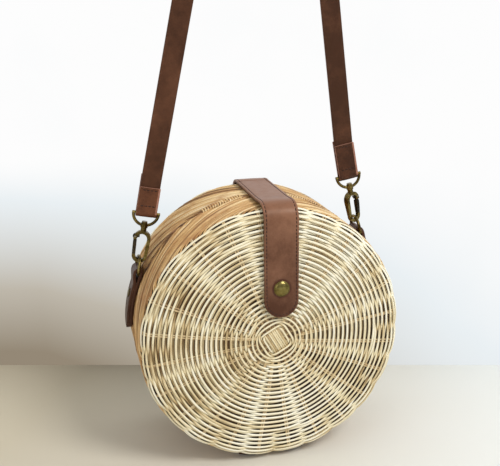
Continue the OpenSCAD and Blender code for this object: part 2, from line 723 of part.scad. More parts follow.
module left_gate() gate(-1);
module right_gate() gate(1);
module left_gate_pin() gate_pin(-1);
module right_gate_pin() gate_pin(1);
module left_gate_spring() gate_spring(-1);
module right_gate_spring() gate_spring(1);
module left_hook_eye() hook_eye(-1);
module right_hook_eye() hook_eye(1);

// Folded end piece that holds the eye and takes the end of the strap between its layers
module strap_end(s) {
    color("saddlebrown") on_bag() at_eye(s) translate([0, 0, eye_bar_v]) rotate([90, 0, 90])
        linear_extrude(end_w, center = true) {
            difference() {
                circle(r = end_in + end_t);
                circle(r = end_in);
                translate([-2 * end_in - end_t, 0]) square([4 * end_in + 2 * end_t, 4 * end_in]);
            }
            translate([-end_in - end_t, 0]) square([end_t, end_len]);
            translate([end_in, 0]) square([end_t, end_len + end_extra]);
        }
}
module left_strap_end() strap_end(-1);
module right_strap_end() strap_end(1);

// Shoulder strap: one band, flat to the front at the hooks and turned to lie flat over the top of its loop
function band_corners(ring) =
    let (c = [ring[0][0], tab_y, ring[0][1]], along = ring[1], turn = ring[2],
        out = [sin(along), 0, -cos(along)],
        wide = cos(turn) * out + sin(turn) * [0, 1, 0],
        thick = cross(wide, [cos(along), 0, sin(along)]))
    [for (q = [[-1, -1], [1, -1], [1, 1], [-1, 1]]) c + q[0] * strap_w / 2 * wide + q[1] * strap_t / 2 * thick];
function leg_direction(s) =
    let (p0 = hook_point(s, end_top_v), d = on_bend(touch_angle(p0, s)) - p0) atan2(d[1], d[0]);
left_touch = touch_angle(hook_point(-1, end_top_v), -1) + 360;
right_touch = touch_angle(hook_point(1, end_top_v), 1);
strap_rings = concat(
    [for (k = [0:2]) [hook_point(-1, strap_start_v + k / 3 * (end_top_v - strap_start_v)), 90 - hook_lean, 0]],
    [for (k = [0:leg_rings]) let (r = leg_ring(-1, k / leg_rings)) [r[0], leg_direction(-1), r[2]]],
    [for (k = [1:arc_rings - 1]) let (a = left_touch + k / arc_rings * (right_touch - left_touch))
        [on_bend(a), a - 90, 90]],
    [for (k = [leg_rings:-1:0]) let (r = leg_ring(1, k / leg_rings)) [r[0], leg_direction(1) + 180, 180 - r[2]]],
    [for (k = [2:-1:0]) [hook_point(1, strap_start_v + k / 3 * (end_top_v - strap_start_v)), hook_lean - 90, 180]]);
module shoulder_strap() {
    rings = len(strap_rings);
    color("saddlebrown") on_bag() polyhedron(
        points = [for (r = strap_rings) each band_corners(r)],
        faces = concat(
            [[0, 1, 2], [0, 2, 3]],
            [for (k = [0:rings - 2], j = [0:3]) each
                let (a = 4 * k + j, b = 4 * k + (j + 1) % 4) [[a, a + 4, b + 4], [a, b + 4, b]]],
            [let (n = 4 * rings - 4) each [[n, n + 2, n + 1], [n, n + 3, n + 2]]]));
}

shoulder_strap();
left_strap_end();
right_strap_end();
left_hook_eye();
right_hook_eye();
left_hook_body();
right_hook_body();
left_gate();
right_gate();
left_gate_pin();
right_gate_pin();
left_gate_spring();
right_gate_spring();
left_ring();
right_ring();
left_tab();
right_tab();
tab_rivets();
rear_shell();
rear_stakes();
rear_rim_rod();
rear_cross();
front_shell();
front_stakes();
front_rim_rod();
front_cross();
closure_strap();
closure_lining();
closure_tail();
tail_rivets();
snap_cap();
snap_socket();
snap_stud();
left_hinge_rear();
right_hinge_rear();
left_hinge_front();
right_hinge_front();
rear_hinge_rivets();
front_hinge_rivets();
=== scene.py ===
import bpy
import numpy as np
from math import acos, asin, atan, atan2, cos, pi, radians, sin, tan, tanh
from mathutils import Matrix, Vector


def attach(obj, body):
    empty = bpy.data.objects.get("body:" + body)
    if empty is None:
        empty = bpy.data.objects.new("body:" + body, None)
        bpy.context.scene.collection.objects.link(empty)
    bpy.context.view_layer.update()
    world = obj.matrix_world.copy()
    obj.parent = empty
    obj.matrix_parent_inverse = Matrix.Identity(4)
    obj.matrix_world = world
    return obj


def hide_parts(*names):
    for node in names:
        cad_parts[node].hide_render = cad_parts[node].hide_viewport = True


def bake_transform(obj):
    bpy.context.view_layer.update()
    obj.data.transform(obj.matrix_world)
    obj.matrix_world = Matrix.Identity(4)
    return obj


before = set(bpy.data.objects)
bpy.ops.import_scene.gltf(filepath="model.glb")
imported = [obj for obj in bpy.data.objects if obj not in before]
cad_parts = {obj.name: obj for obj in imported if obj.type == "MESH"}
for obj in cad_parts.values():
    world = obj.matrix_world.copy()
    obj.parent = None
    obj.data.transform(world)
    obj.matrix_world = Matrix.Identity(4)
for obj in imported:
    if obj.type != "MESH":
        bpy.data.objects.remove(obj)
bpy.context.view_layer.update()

# Sizes in millimetres in the bag's own frame: origin at the bag's centre, +Y to its back, +Z up
MM = 0.001
TURN = 2 * pi
LOOP_TOP = np.array([9.0, 6.0, 496.0])
BAG_R, EDGE_R, DOME_H = 100.0, 8.0, 3.7
FLAT_R = BAG_R - EDGE_R
DOME_TURN = 2 * atan(DOME_H / FLAT_R)
DOME_R = EDGE_R + FLAT_R / sin(DOME_TURN)
DOME_DROP = (DOME_R - EDGE_R) * cos(DOME_TURN)
FACE_LEN = DOME_R * DOME_TURN
EDGE_LEN = EDGE_R * (pi / 2 - DOME_TURN)
SEAM_Y, SEAM_HALF = -2.0, 0.3
FRONT_DEPTH, REAR_DEPTH = 36.7, 40.7
ROD_R = 2.25
ROD_RING_R = BAG_R - ROD_R
TAB_Y = 6.0
TAB_ANGLE = {-1: 155.0, 1: 38.0}
RING_BAR_R, BAR_WIRE_R = 104.11, 1.25

# The weave: where the stakes stand, in degrees, and how high a row passes over and under them
STAKE_PAIRS, FIRST_STAKE, STAKE_STEP = 24, 7.5, 15.0
REED_PITCH = 1.82
OVER, UNDER = -0.62, -2.9
MIDDLE = (OVER + UNDER) / 2
CROSS_TURN = {-1: radians(120), 1: radians(60)}
HOOP_SIDES, STRAND_SIDES = 6, 8
# How far the grain may be moved along a reed, and what is left of a reed's thickness at a tapered tip
GRAIN_SHIFT, BLUNT_TIP = 40.0, 0.03


# -------- small sums
def to_part(points):
    """Millimetres in the bag's frame to metres in the part's frame."""
    return (np.asarray(points, float) - LOOP_TOP) * MM


def share(x):
    """Kept between none and all."""
    return np.clip(x, 0, 1)


def eased(x):
    """Runs from 0 to 1 with a soft start and a soft end."""
    x = share(x)
    return x * x * (3 - 2 * x)


def bead(x, middle, spread):
    """The section of a soft bead or groove, 1 at its middle."""
    return np.exp(-((x - middle) / spread) ** 2)


def arc(r, angles):
    """Points on a circle round the origin of a plane."""
    return np.stack([r * np.cos(angles), r * np.sin(angles)], -1)


def gone_along(points):
    """How far along a line each of its points lies."""
    return np.concatenate([[0], np.cumsum(np.linalg.norm(np.diff(points, axis=0), axis=1))])


class Path:
    """A bent line in a plane, known by the millimetres gone along it."""

    def __init__(self, points):
        self.points = points
        self.gone = gone_along(points)
        self.slope = np.gradient(points, self.gone, axis=0)
        self.length = self.gone[-1]

    def at(self, u):
        return [np.interp(u, self.gone, c) for c in self.points.T]

    def heading(self, u):
        dx, dz = (np.interp(u, self.gone, c) for c in self.slope.T)
        n = np.hypot(dx, dz)
        return dx / n, dz / n

    def beside(self, u, out):
        """The place that is out millimetres to the right of the line."""
        (x, z), (dx, dz) = self.at(u), self.heading(u)
        return x + out * dz, z - out * dx


# -------- workshop helpers
def turn_to(mode):
    bpy.ops.object.mode_set(mode=mode)


def clear_bench():
    if bpy.context.object and bpy.context.object.mode != "OBJECT":
        turn_to("OBJECT")
    bpy.ops.object.select_all(action="DESELECT")


def pick(*pieces):
    """Makes these the picked pieces, and the first of them the active one."""
    clear_bench()
    for piece in pieces:
        piece.select_set(True)
    bpy.context.view_layer.objects.active = pieces[0]


def points_of(piece):
    co = np.empty(len(piece.data.vertices) * 3)
    piece.data.vertices.foreach_get("co", co)
    return co.reshape(-1, 3)


def move_points(piece, points):
    piece.data.vertices.foreach_set("co", np.asarray(points, float).ravel())
    piece.data.update()


def copy_of(blank):
    piece = blank.copy()
    piece.data = blank.data.copy()
    bpy.context.scene.collection.objects.link(piece)
    return piece


def mark(piece, name, values):
    """Writes a number for each point, which the materials read."""
    layer = piece.data.attributes.get(name) or piece.data.attributes.new(name, "FLOAT", "POINT")
    values = np.broadcast_to(np.asarray(values, float), (len(piece.data.vertices),))
    layer.data.foreach_set("value", values.astype(np.float32))


def write_uv(piece, u, v, round_join=False):
    """Writes the UV map; round_join closes numbers that run round from 1 to 0."""
    me = piece.data
    uv = me.uv_layers.active or me.uv_layers.new(name="UVMap")
    uv.name = "UVMap"
    corners = np.empty(len(me.loops), int)
    me.loops.foreach_get("vertex_index", corners)
    u, v = u[corners], v[corners]
    for face in me.polygons if round_join else ():
        at = slice(face.loop_start, face.loop_start + face.loop_total)
        for w in (u, v):
            if w[at].max() - w[at].min() > 0.5:
                w[at] = np.where(w[at] < 0.5, w[at] + 1, w[at])
    uv.data.foreach_set("uv", np.stack([u, v], -1).astype(np.float32).ravel())


def finish_with(piece, kind, **settings):
    """Adds one modifier and applies it."""
    pick(piece)
    modifier = piece.modifiers.new(kind.lower(), kind)
    for key, value in settings.items():
        setattr(modifier, key, value)
    bpy.ops.object.modifier_apply(modifier=modifier.name)


def face_out(piece, weld=0.0):
    """Turns the faces of a piece outwards, after points nearer than weld are merged."""
    pick(piece)
    turn_to("EDIT")
    bpy.ops.mesh.select_all(action="SELECT")
    if weld:
        bpy.ops.mesh.remove_doubles(threshold=weld)
    bpy.ops.mesh.normals_make_consistent(inside=False)
    turn_to("OBJECT")


def join_pieces(pieces, name):
    pick(*pieces)
    bpy.ops.object.join()
    pieces[0].name = pieces[0].data.name = name
    return pieces[0]


def smooth_shade(piece, angle):
    pick(piece)
    bpy.ops.object.shade_smooth_by_angle(angle=radians(angle))


def bind(pieces, name, material, *blanks):
    """Joins laid reeds into one piece and clears away the blanks that they were copied from."""
    for blank in blanks:
        bpy.data.objects.remove(blank[0])
    woven = join_pieces(pieces, name)
    woven.data.materials.append(material)
    smooth_shade(woven, 80)
    return woven


# -------- reeds and strands
def ring_blank(segments):
    """A closed hoop of reed, modelled once; its points are known by their place along it and round it."""
    clear_bench()
    bpy.ops.mesh.primitive_torus_add(major_segments=segments, minor_segments=HOOP_SIDES, major_radius=10,
                                     minor_radius=1)
    blank = bpy.context.object
    x, y, z = points_of(blank).T
    along = (np.arctan2(y, x) / TURN) % 1.0
    side = np.hypot(x, y) - 10
    write_uv(blank, along, np.arctan2(z, side) / TURN % 1.0, round_join=True)
    return blank, along, side, z


def strand_blank(rings):
    """A straight strand, modelled once from a cylinder that is cut into rings."""
    clear_bench()
    bpy.ops.mesh.primitive_cylinder_add(vertices=STRAND_SIDES, radius=1, depth=1, location=(0, 0, 0.5))
    bpy.ops.object.transform_apply(location=True)
    blank = bpy.context.object
    turn_to("EDIT")
    # edges alone are picked: picked points would take the cap's edges with them
    bpy.ops.mesh.select_mode(type="EDGE")
    bpy.ops.mesh.select_all(action="DESELECT")
    turn_to("OBJECT")
    for edge in blank.data.edges:
        a, b = (blank.data.vertices[i].co.z for i in edge.vertices)
        edge.select = abs(a - b) > 0.5
    turn_to("EDIT")
    bpy.ops.mesh.subdivide(number_cuts=rings - 2)
    bpy.ops.mesh.select_mode(type="VERT")
    turn_to("OBJECT")
    x, y, z = points_of(blank).T
    write_uv(blank, z, np.arctan2(y, x) / TURN % 1.0, round_join=True)
    return blank, z, x, -y


def lay_reed(blank, path, normals, half_w, half_h, tone, draw, closed=False, taper=0.0):
    """Copies a blank and lays it along a path; the path and its normals are in the bag's frame."""
    shape, along, side, rise = blank
    shift = draw.uniform(0, GRAIN_SHIFT)
    n = len(path)
    tangent = np.roll(path, -1, 0) - np.roll(path, 1, 0) if closed else np.gradient(path, axis=0)
    tangent /= np.linalg.norm(tangent, axis=1)[:, None]
    normals = normals - (normals * tangent).sum(1)[:, None] * tangent
    normals /= np.linalg.norm(normals, axis=1)[:, None]
    across = np.cross(tangent, normals)
    if closed:
        near = np.rint(along * n).astype(int) % n
        far, mix = near, np.zeros(len(near))
    else:
        near = np.clip(np.floor(along * (n - 1)).astype(int), 0, n - 2)
        far, mix = near + 1, along * (n - 1) - near

    def at(values):
        m = mix[:, None] if values.ndim == 2 else mix
        return values[near] * (1 - m) + values[far] * m

    thin = np.ones(n)
    if taper:
        x = np.linspace(0, 1, n)
        k = share(np.minimum(x, 1 - x) / taper)
        thin = np.sqrt(np.clip(1 - (1 - k) ** 2, BLUNT_TIP, 1))
    w, h = side * at(half_w * thin), rise * at(half_h * thin)
    piece = copy_of(shape)
    move_points(piece, to_part(at(path) + w[:, None] * at(across) + h[:, None] * at(normals)))
    mark(piece, "tone", at(np.broadcast_to(tone, (n,))))
    grain = piece.data.uv_layers.active.data
    uv = np.empty(len(grain) * 2, np.float32)
    grain.foreach_get("uv", uv)
    uv[0::2] = uv[0::2] * gone_along(path)[-1] + shift
    grain.foreach_set("uv", uv)
    return piece


def face_point(s, out):
    """Radius, height from the turn of the wall, and normal, s along a face from its centre and out from it."""
    zones = [s < FACE_LEN, s < FACE_LEN + EDGE_LEN]
    a, b = s / DOME_R, DOME_TURN + (s - FACE_LEN) / EDGE_R
    r = np.select(zones, [(DOME_R + out) * np.sin(a), FLAT_R + (EDGE_R + out) * np.sin(b)], BAG_R + out)
    h = np.select(zones, [(DOME_R + out) * np.cos(a) - DOME_DROP, (EDGE_R + out) * np.cos(b)],
                  FACE_LEN + EDGE_LEN - s)
    return r, h, np.select(zones, [np.sin(a), np.sin(b)], 1.0), np.select(zones, [np.cos(a), np.cos(b)], 0.0)


def on_half(side, depth, theta, r, h, nr, nh):
    """Points and normals on one half: side -1 is the front half, theta is 0 at the right and runs upwards."""
    y = SEAM_Y + side * (SEAM_HALF + depth + h)
    return (np.stack([r * np.cos(theta), y + 0 * r, r * np.sin(theta)], -1),
            np.stack([nr * np.cos(theta), side * nh + 0 * r, nr * np.sin(theta)], -1))


def over_under(wave, snap):
    """A reed stays flat over and under the stakes and crosses quickly in between."""
    return np.tanh(snap * wave) / tanh(snap)


def waver(draw, th, spreads):
    """Slow waves round a row: how many, and how far each may go."""
    return sum(draw.normal(0, spread) * np.cos(q * th + draw.uniform(0, 6.28)) for q, spread in spreads)


def weave_face(side, depth, name, draw):
    """Rows of round cane, over one stake and under the next, each row against its neighbour."""
    first, last, outer_from = 21.6, FACE_LEN + EDGE_R * radians(80), 78.5
    # a row's hoop and its steps, the stakes that it crosses and where they start, and how fast it crosses
    inner = ring_blank(240), 240, STAKE_PAIRS / 2, 0.0, 2.1
    outer = ring_blank(312), 312, STAKE_PAIRS, radians(FIRST_STAKE), 1.5
    stakes_at = np.radians(FIRST_STAKE + STAKE_STEP * np.arange(STAKE_PAIRS + 1))
    stake_high = draw.normal(0, 1, STAKE_PAIRS)
    stake_high = np.append(stake_high, stake_high[0])
    drifts = [(q, 0.07 / q ** 0.5) for q in (2, 3, 5, 8, 13, 21)]
    wears = [(q, 0.05) for q in (1, 2, 4, 7)]
    stakes_lean, painted_light_spread = 0.0016, 0.62
    half_w, half_h, shade = 0.88, 0.66, 0.66
    rows = []
    for k in range(int((last - first) / REED_PITCH)):
        s = first + k * REED_PITCH
        hoop, steps, stakes, start, snap = outer if s > outer_from else inner
        th = np.arange(steps) * TURN / steps
        lift = over_under(np.cos(stakes / 2 * (th - start)) * (1 if k % 2 else -1), snap)
        drift = waver(draw, th, drifts)
        around = np.mod(th - stakes_lean * s, TURN)
        high = np.interp(around, stakes_at, stake_high, period=TURN)
        heave = np.cos(STAKE_PAIRS / 2 * (around - radians(FIRST_STAKE))) * min(1.0, s / 60)
        rise = MIDDLE + (OVER - UNDER) / 2 * lift + 0.10 * high + 0.24 * heave + draw.normal(0, 0.05)
        # no row sinks through the skin behind it
        path, normals = on_half(side, depth, th, *face_point(s + drift, np.maximum(rise, UNDER)))
        wear = waver(draw, th, wears)
        # painted light: paler at the bottom and the upper right of the front half, at the top and the lower right of
        # the rear
        painted_light = sum(0.2 * bead(np.angle(np.exp(1j * (side * th - m))), 0, painted_light_spread)
                     for m in np.radians((90, -48)))
        # darker where a row dips under a stake or lies lower: painted shade
        tone = shade + draw.normal(0, 0.06) + wear + 0.13 * lift + 0.045 * high + 0.07 * heave + painted_light
        rows.append(lay_reed(hoop, path, normals, half_w + draw.normal(0, 0.03), half_h, tone, draw, closed=True))
    return bind(rows, name, FACE_CANE, inner[0], outer[0])


def knot(side, depth, name, draw):
    """Crossed reeds at the centre, and the first rows that lash them in a rounded square."""
    steps, lashings, first_lashing, lashing_pitch = 160, 8, 8.2, 1.68
    reeds, reed_pitch, reach, crossing, sunk = 8, 1.5, 20.5, 6.6, -1.75
    hoop, reed = ring_blank(steps), strand_blank(41)
    pieces = []
    th = np.arange(steps) * TURN / steps
    q = th - CROSS_TURN[side]
    for k in range(lashings):
        square = max(0.0, 1 - k / 4.0)
        power = 2 + 4.0 * square
        shape = (np.abs(np.cos(q)) ** power + np.abs(np.sin(q)) ** power) ** (-1 / power) / (1 + 0.07 * square)
        lift = over_under(np.cos(2 * q) * (1 if k % 2 else -1), 3.0)
        s = (first_lashing + k * lashing_pitch) * shape + draw.normal(0, 0.12)
        path, normals = on_half(side, depth, th, *face_point(s, -1.5 + 0.86 * lift))
        # the lashings are darker where they pass under the reeds: painted shade
        tone = 0.64 + 0.12 * lift + draw.normal(0, 0.04)
        pieces.append(lay_reed(hoop, path, normals, 0.78, 0.68, tone, draw, closed=True))
    run = np.linspace(-reach, reach, 60)
    fan = 1 + 0.35 * share((np.abs(run) - 7.5) / 10)
    ca, sa = cos(CROSS_TURN[side]), sin(CROSS_TURN[side])
    # the upper layer, and the lower one square to it
    for top, c, s in ((0.1, ca, sa), (-1.4, -sa, ca)):
        lift = np.where(np.abs(run) < crossing, top, sunk)
        for _ in range(5):
            lift = np.convolve(np.pad(lift, 1, mode="edge"), [0.25, 0.5, 0.25], mode="valid")
        for k in range(reeds):
            beside = ((k - (reeds - 1) / 2) * reed_pitch + draw.normal(0, 0.05)) * fan
            x, z = run * c - beside * s, run * s + beside * c
            path, normals = on_half(side, depth, np.arctan2(z, x), *face_point(np.hypot(x, z), lift))
            # the reeds are darker where they sink under the lashings: painted shade
            tone = 0.66 + draw.normal(0, 0.07) - 0.35 * share((np.abs(run) - 6.8) / 4)
            pieces.append(lay_reed(reed, path, normals, 0.72, 0.74, tone, draw, taper=0.02))
    return bind(pieces, name, FACE_CANE, hoop, reed)


def stake_sticks(side, depth, name, draw):
    """Pairs of straight sticks that run out from the knot and round the edge into the wall."""
    stick = strand_blank(61)
    half_gap, half_w, half_h = 0.78, 0.6, 0.52
    pieces = []
    s = np.concatenate([np.linspace(15.5, FACE_LEN, 40), FACE_LEN + np.linspace(0.5, EDGE_LEN + 4, 21)])
    for k in range(STAKE_PAIRS):
        for beside in (-half_gap, half_gap):
            bow = 0.0025 * np.sin(s / 11 + draw.uniform(0, 6))
            th = radians(FIRST_STAKE + STAKE_STEP * k) + beside * np.minimum(1, s / 30) / s + bow
            rise = MIDDLE + 0.15 + 0.05 * np.sin(s * 1.7 + beside)
            path, normals = on_half(side, depth, th, *face_point(s, rise))
            pieces.append(lay_reed(stick, path, normals, half_w, half_h, 0.62 + draw.normal(0, 0.07), draw))
    return bind(pieces, name, STAKE_CANE, stick)


def wall_strands(side, depth, name, draw):
    """Bundles of fine strands that slant round the wall and turn in over the rim rod."""
    strand = strand_blank(58)
    pieces = []
    bundles, each, half_w, half_h = 24, 6, 0.66, 0.6
    slant, edge_turn = radians(21), radians(40)
    low, rod, wall_end = EDGE_R - 1.0, ROD_R - 0.55, depth - ROD_R
    # along a strand: round the edge of the face, down the wall, round the rim rod and up inside
    runs = [low * edge_turn, wall_end, ROD_R * pi, depth * 0.45]
    ends = np.cumsum(runs)
    u = np.concatenate([np.linspace(0, ends[0], 7), np.linspace(ends[0], ends[1], 26)[1:],
                        np.linspace(ends[1], ends[2], 15)[1:], np.linspace(ends[2], ends[3], 9)[1:]])
    on_wall, inside = (u >= ends[0]) & (u < ends[1]), u >= ends[2]
    zones = [u < ends[0], on_wall, inside]
    a = np.clip(edge_turn - u / low, 0, 2)
    c = np.clip((u - ends[1]) / ROD_R, 0, pi)
    sunk = low - 2.4 * share((a - radians(2)) / radians(18))
    r0 = np.select(zones, [FLAT_R + sunk * np.cos(a), BAG_R - 1.0, ROD_RING_R - rod], ROD_RING_R + rod * np.cos(c))
    h0 = np.select(zones, [sunk * np.sin(a), ends[0] - u, u - ends[2] - wall_end], -wall_end - rod * np.sin(c))
    nr = np.select(zones, [np.cos(a), 1.0, -1.0], np.cos(c))
    nh = np.select(zones, [np.sin(a), 0.0, 0.0], -np.sin(c))
    belly = np.where(on_wall, np.sin(share((u - ends[0]) / runs[1]) * pi), 0)
    # paler at the edge of the face; darker where the strand goes round the rod, a painted shade in the seam's groove
    fade = 0.14 * share(1 - u / 14) - 0.32 * share((u - ends[1] + 1.5) / 3)
    for b in range(bundles):
        bundle_tone, bundle_rise = draw.normal(0, 0.06), draw.uniform(0.0, 0.25)
        for i in range(each):
            x = (i + 0.5) / each - 0.5
            proud = 0.5 - 3.4 * x * x + draw.normal(0, 0.12) + bundle_rise * belly
            th = (b + 0.5 + 0.94 * x) * TURN / bundles - u / tan(slant) / BAG_R \
                + draw.normal(0, 0.0015) + 0.004 * np.sin(u / 7 + draw.uniform(0, 6))
            path, normals = on_half(side, depth, th, r0 + nr * np.where(inside, -0.1, proud * 0.75),
                                    h0 + nh * proud * 0.4, nr, nh)
            # the outer strands of a bundle are darker, a painted shade between the bundles, and the strands on the
            # left of the bag are darker, a painted shade
            tone = 0.64 + bundle_tone + draw.normal(0, 0.15) + 0.10 * np.sin(u / 8 + draw.uniform(0, 6)) \
                + fade - 0.5 * abs(x) ** 1.5 - 0.2 * share(-1.3 * np.cos(th) - 0.3)
            pieces.append(lay_reed(strand, path, normals, half_w, half_h, tone, draw))
    return bind(pieces, name, WALL_CANE, strand)


def rim_whipping(side, depth, name, draw):
    """Short turns of flat cane that bind the rim, on both sides of the closure strap."""
    strand = strand_blank(13)
    pieces = []
    spans, step, start = ((62, 78), (99, 117)), 1.15, -0.9
    half_w, half_h = 0.62, 0.34
    # from below the rim, where c is negative, up and over the rod
    c = np.linspace(start, 2.3, 25)
    down, turn = np.maximum(-c, 0), np.maximum(c, 0)
    r = ROD_RING_R + (ROD_R + 0.25) * np.cos(turn) - 0.35 * (1 - share((c - start) / -start))
    h = 3.6 * down - (depth - ROD_R) - (ROD_R + 0.05) * np.sin(turn)
    for begin, end in spans:
        for angle in np.arange(begin, end, step):
            th = radians(angle) + 0.010 * down + draw.normal(0, 0.0008)
            path, normals = on_half(side, depth, th, r, h, np.cos(turn), -np.sin(turn))
            tone = 0.66 + draw.normal(0, 0.09)
            pieces.append(lay_reed(strand, path, normals, half_w, half_h, tone, draw, taper=0.05))
    return bind(pieces, name, WALL_CANE, strand)


def inner_wall(side, depth, name):
    """A ribbed skin behind the rows: dark cane between them, a painted shade, and the paler inside of the bag."""
    skin_out, skin_t, rib_h, wall_rise = -3.35, 0.4, 0.16, 1.35
    clear_bench()
    bpy.ops.mesh.primitive_grid_add(x_subdivisions=120, y_subdivisions=144, size=2)
    skin = bpy.context.object
    co = points_of(skin)
    s = (co[:, 0] + 1) / 2 * (FACE_LEN + EDGE_LEN + depth - 2 * ROD_R - 0.6)
    th = (co[:, 1] + 1) * pi
    rib = rib_h * np.cos(pi * s / REED_PITCH) * np.cos(STAKE_PAIRS / 2 * th) * share((FACE_LEN - s) / 3)
    wall = 1 - share((FACE_LEN + EDGE_LEN * 0.5 - s) / 3)
    path, _ = on_half(side, depth, th, *face_point(s, skin_out + rib + wall_rise * wall))
    move_points(skin, to_part(path))
    face_out(skin, weld=2e-6)
    # the outer side is the painted shade seen through the gaps between the rows; the inner side is the paler cane of
    # the bag's inside
    for material in (PAINTED_SHADE_CANE, INSIDE_CANE):
        skin.data.materials.append(material)
    # the faces have to look out of the bag before the skin gets its thickness
    middle = Vector(to_part([0, SEAM_Y, 0]))
    farthest = max(skin.data.polygons, key=lambda p: (p.center - middle).length)
    if farthest.normal.dot(farthest.center - middle) < 0:
        skin.data.flip_normals()
    finish_with(skin, "SOLIDIFY", thickness=skin_t * MM, offset=-1, material_offset=1, material_offset_rim=1)
    smooth_shade(skin, 60)
    skin.name = skin.data.name = name
    return skin


# -------- leather strips
def strip_blank(name, leather, length, width, thick, rows, columns, edge, round_start=False, round_end=False,
                cut_side=None):
    """A strip cut flat in millimetres: x along, y across, top face at z = 0; cut_side is the leather of its sides."""
    clear_bench()
    bpy.ops.mesh.primitive_grid_add(x_subdivisions=rows, y_subdivisions=columns, size=2)
    strip = bpy.context.object
    strip.name = strip.data.name = name
    for material in (leather, cut_side or leather):
        strip.data.materials.append(material)
    co = points_of(strip)
    half = width / 2
    crowd = 0.86 * pi / 2
    u = (co[:, 0] + 1) / 2 * length
    v = np.sin(co[:, 1] * crowd) / sin(crowd)
    for wanted, sign, base in ((round_start, -1, half), (round_end, 1, length - half)):
        t = share(sign * (u - base) / half)
        near = (t > 0) & wanted
        u = np.where(near, base + sign * half * t * np.sqrt(1 - v * v / 2), u)
        v = np.where(near, v * np.sqrt(1 - t * t / 2), v)
    move_points(strip, np.stack([u, v * half, 0 * u], -1))
    if strip.data.polygons[0].normal.z < 0:
        strip.data.flip_normals()
    finish_with(strip, "SOLIDIFY", thickness=thick, offset=-1, material_offset_rim=1)
    finish_with(strip, "BEVEL", width=edge, segments=2, limit_method="ANGLE", angle_limit=radians(50))
    return strip


def from_outline(u, v, length, width, round_start=False, round_end=False):
    """Distance in from the cut edge of a strip."""
    half = width / 2
    d = half - np.abs(v)
    for rounded, into in ((round_start, u), (round_end, length - u)):
        end = half - np.hypot(half - into, v) if rounded else into
        d = np.where(into < half, np.minimum(d, end), d)
    return d


def lay_strip(strip, lay, thick, relief=None, dye_and_painted_light=None):
    """Bends a flat strip to its place; relief sinks or raises its top face only."""
    u, v, w = points_of(strip).T
    write_uv(strip, u * MM, v * MM)
    if relief:
        w = w + relief(u, v) * share(1 + w / (0.6 * thick))
    deep = share(-w / thick)
    # the cut sides take the edge paint; where the relief sinks the top face, its grooves and hollows take part of it,
    # a painted shade
    mark(strip, "edge", np.minimum(deep, 1 - deep))
    if dye_and_painted_light:
        mark(strip, "dye_and_painted_light", dye_and_painted_light(u, v))
    move_points(strip, to_part(lay(u, v, w)))
    face_out(strip)
    smooth_shade(strip, 50)


def sew(name, lay, lines, top, pitch):
    """Copies a sunk stitch along lines of places on a flat strip, then bends the stitches with the strip."""
    thread_r, stitch_len, dip, proud = 0.36, 2.0, 0.34, 0.08
    clear_bench()
    bpy.ops.mesh.primitive_cylinder_add(vertices=6, radius=thread_r, depth=stitch_len, rotation=(0, pi / 2, 0))
    bpy.ops.object.transform_apply(rotation=True)
    turn_to("EDIT")
    bpy.ops.mesh.select_all(action="SELECT")
    bpy.ops.mesh.subdivide(number_cuts=3)
    turn_to("OBJECT")
    stitch = bpy.context.object
    a, b, c = points_of(stitch).T
    # thick in its middle and turned down at both ends
    c = c * 0.8 - dip * share((np.abs(a) - 0.5) / 0.5) ** 2 + proud
    pieces = []
    for line in lines:
        line = np.asarray(line, float)
        gone = gone_along(line)
        count = max(1, int(gone[-1] / pitch))
        for middle in (np.arange(count) + 0.5) * gone[-1] / count:
            back, here, ahead = (np.array([np.interp(middle + step, gone, xy) for xy in line.T])
                                 for step in (-0.4, 0, 0.4))
            run = (ahead - back) / np.linalg.norm(ahead - back)
            u = here[0] + a * run[0] * 1.05 - b * run[1]
            v = here[1] + a * run[1] * 1.05 + b * run[0]
            pieces.append(copy_of(stitch))
            move_points(pieces[-1], to_part(lay(u, v, top(*here) + c)))
    bpy.data.objects.remove(stitch)
    seam = join_pieces(pieces, name)
    face_out(seam)
    seam.data.materials.append(DARK_THREAD)
    smooth_shade(seam, 60)
    return seam


def stitch_line(length, width, inset, round_start=False, start=0.0, end=0.0):
    """A seam that runs in from one end of a strip, round or across its other end, and back."""
    half, keep = width / 2, width / 2 - inset
    line = [(length - end, keep), (half if round_start else start, keep)]
    if round_start:
        line += [(half - keep * sin(a), keep * cos(a)) for a in np.linspace(0, pi, 25)]
    else:
        line += [(start, -keep)]
    line = np.array(line + [(length - end, -keep)])
    points = [line[0]]
    for a, b in zip(line[:-1], line[1:]):
        steps = max(1, int(np.linalg.norm(b - a) / 0.5))
        points += [a + (b - a) * k / steps for k in range(1, steps + 1)]
    return np.array(points)


# -------- materials
def colour(screen):
    """A colour for a node from one given as it looks on a screen, 0 to 255."""
    return (*(c / 12.92 if c <= 0.04045 else ((c + 0.055) / 1.055) ** 2.4 for c in (x / 255.0 for x in screen)), 1.0)


class Wire:
    """What comes out of a node; sums made with it add nodes to its bench."""

    def __init__(self, bench, socket):
        self.bench, self.socket = bench, socket

    def __add__(self, other):
        return self.bench.sum("ADD", self, other)

    def __sub__(self, other):
        return self.bench.sum("SUBTRACT", self, other)

    def __rsub__(self, other):
        return self.bench.sum("SUBTRACT", other, self)

    def __mul__(self, other):
        return self.bench.sum("MULTIPLY", self, other)

    def __truediv__(self, other):
        return self.bench.sum("DIVIDE", self, other)

    def __pow__(self, other):
        return self.bench.sum("POWER", self, other)

    def kept(self):
        """Keeps the sum between 0 and 1."""
        self.socket.node.use_clamp = True
        return self


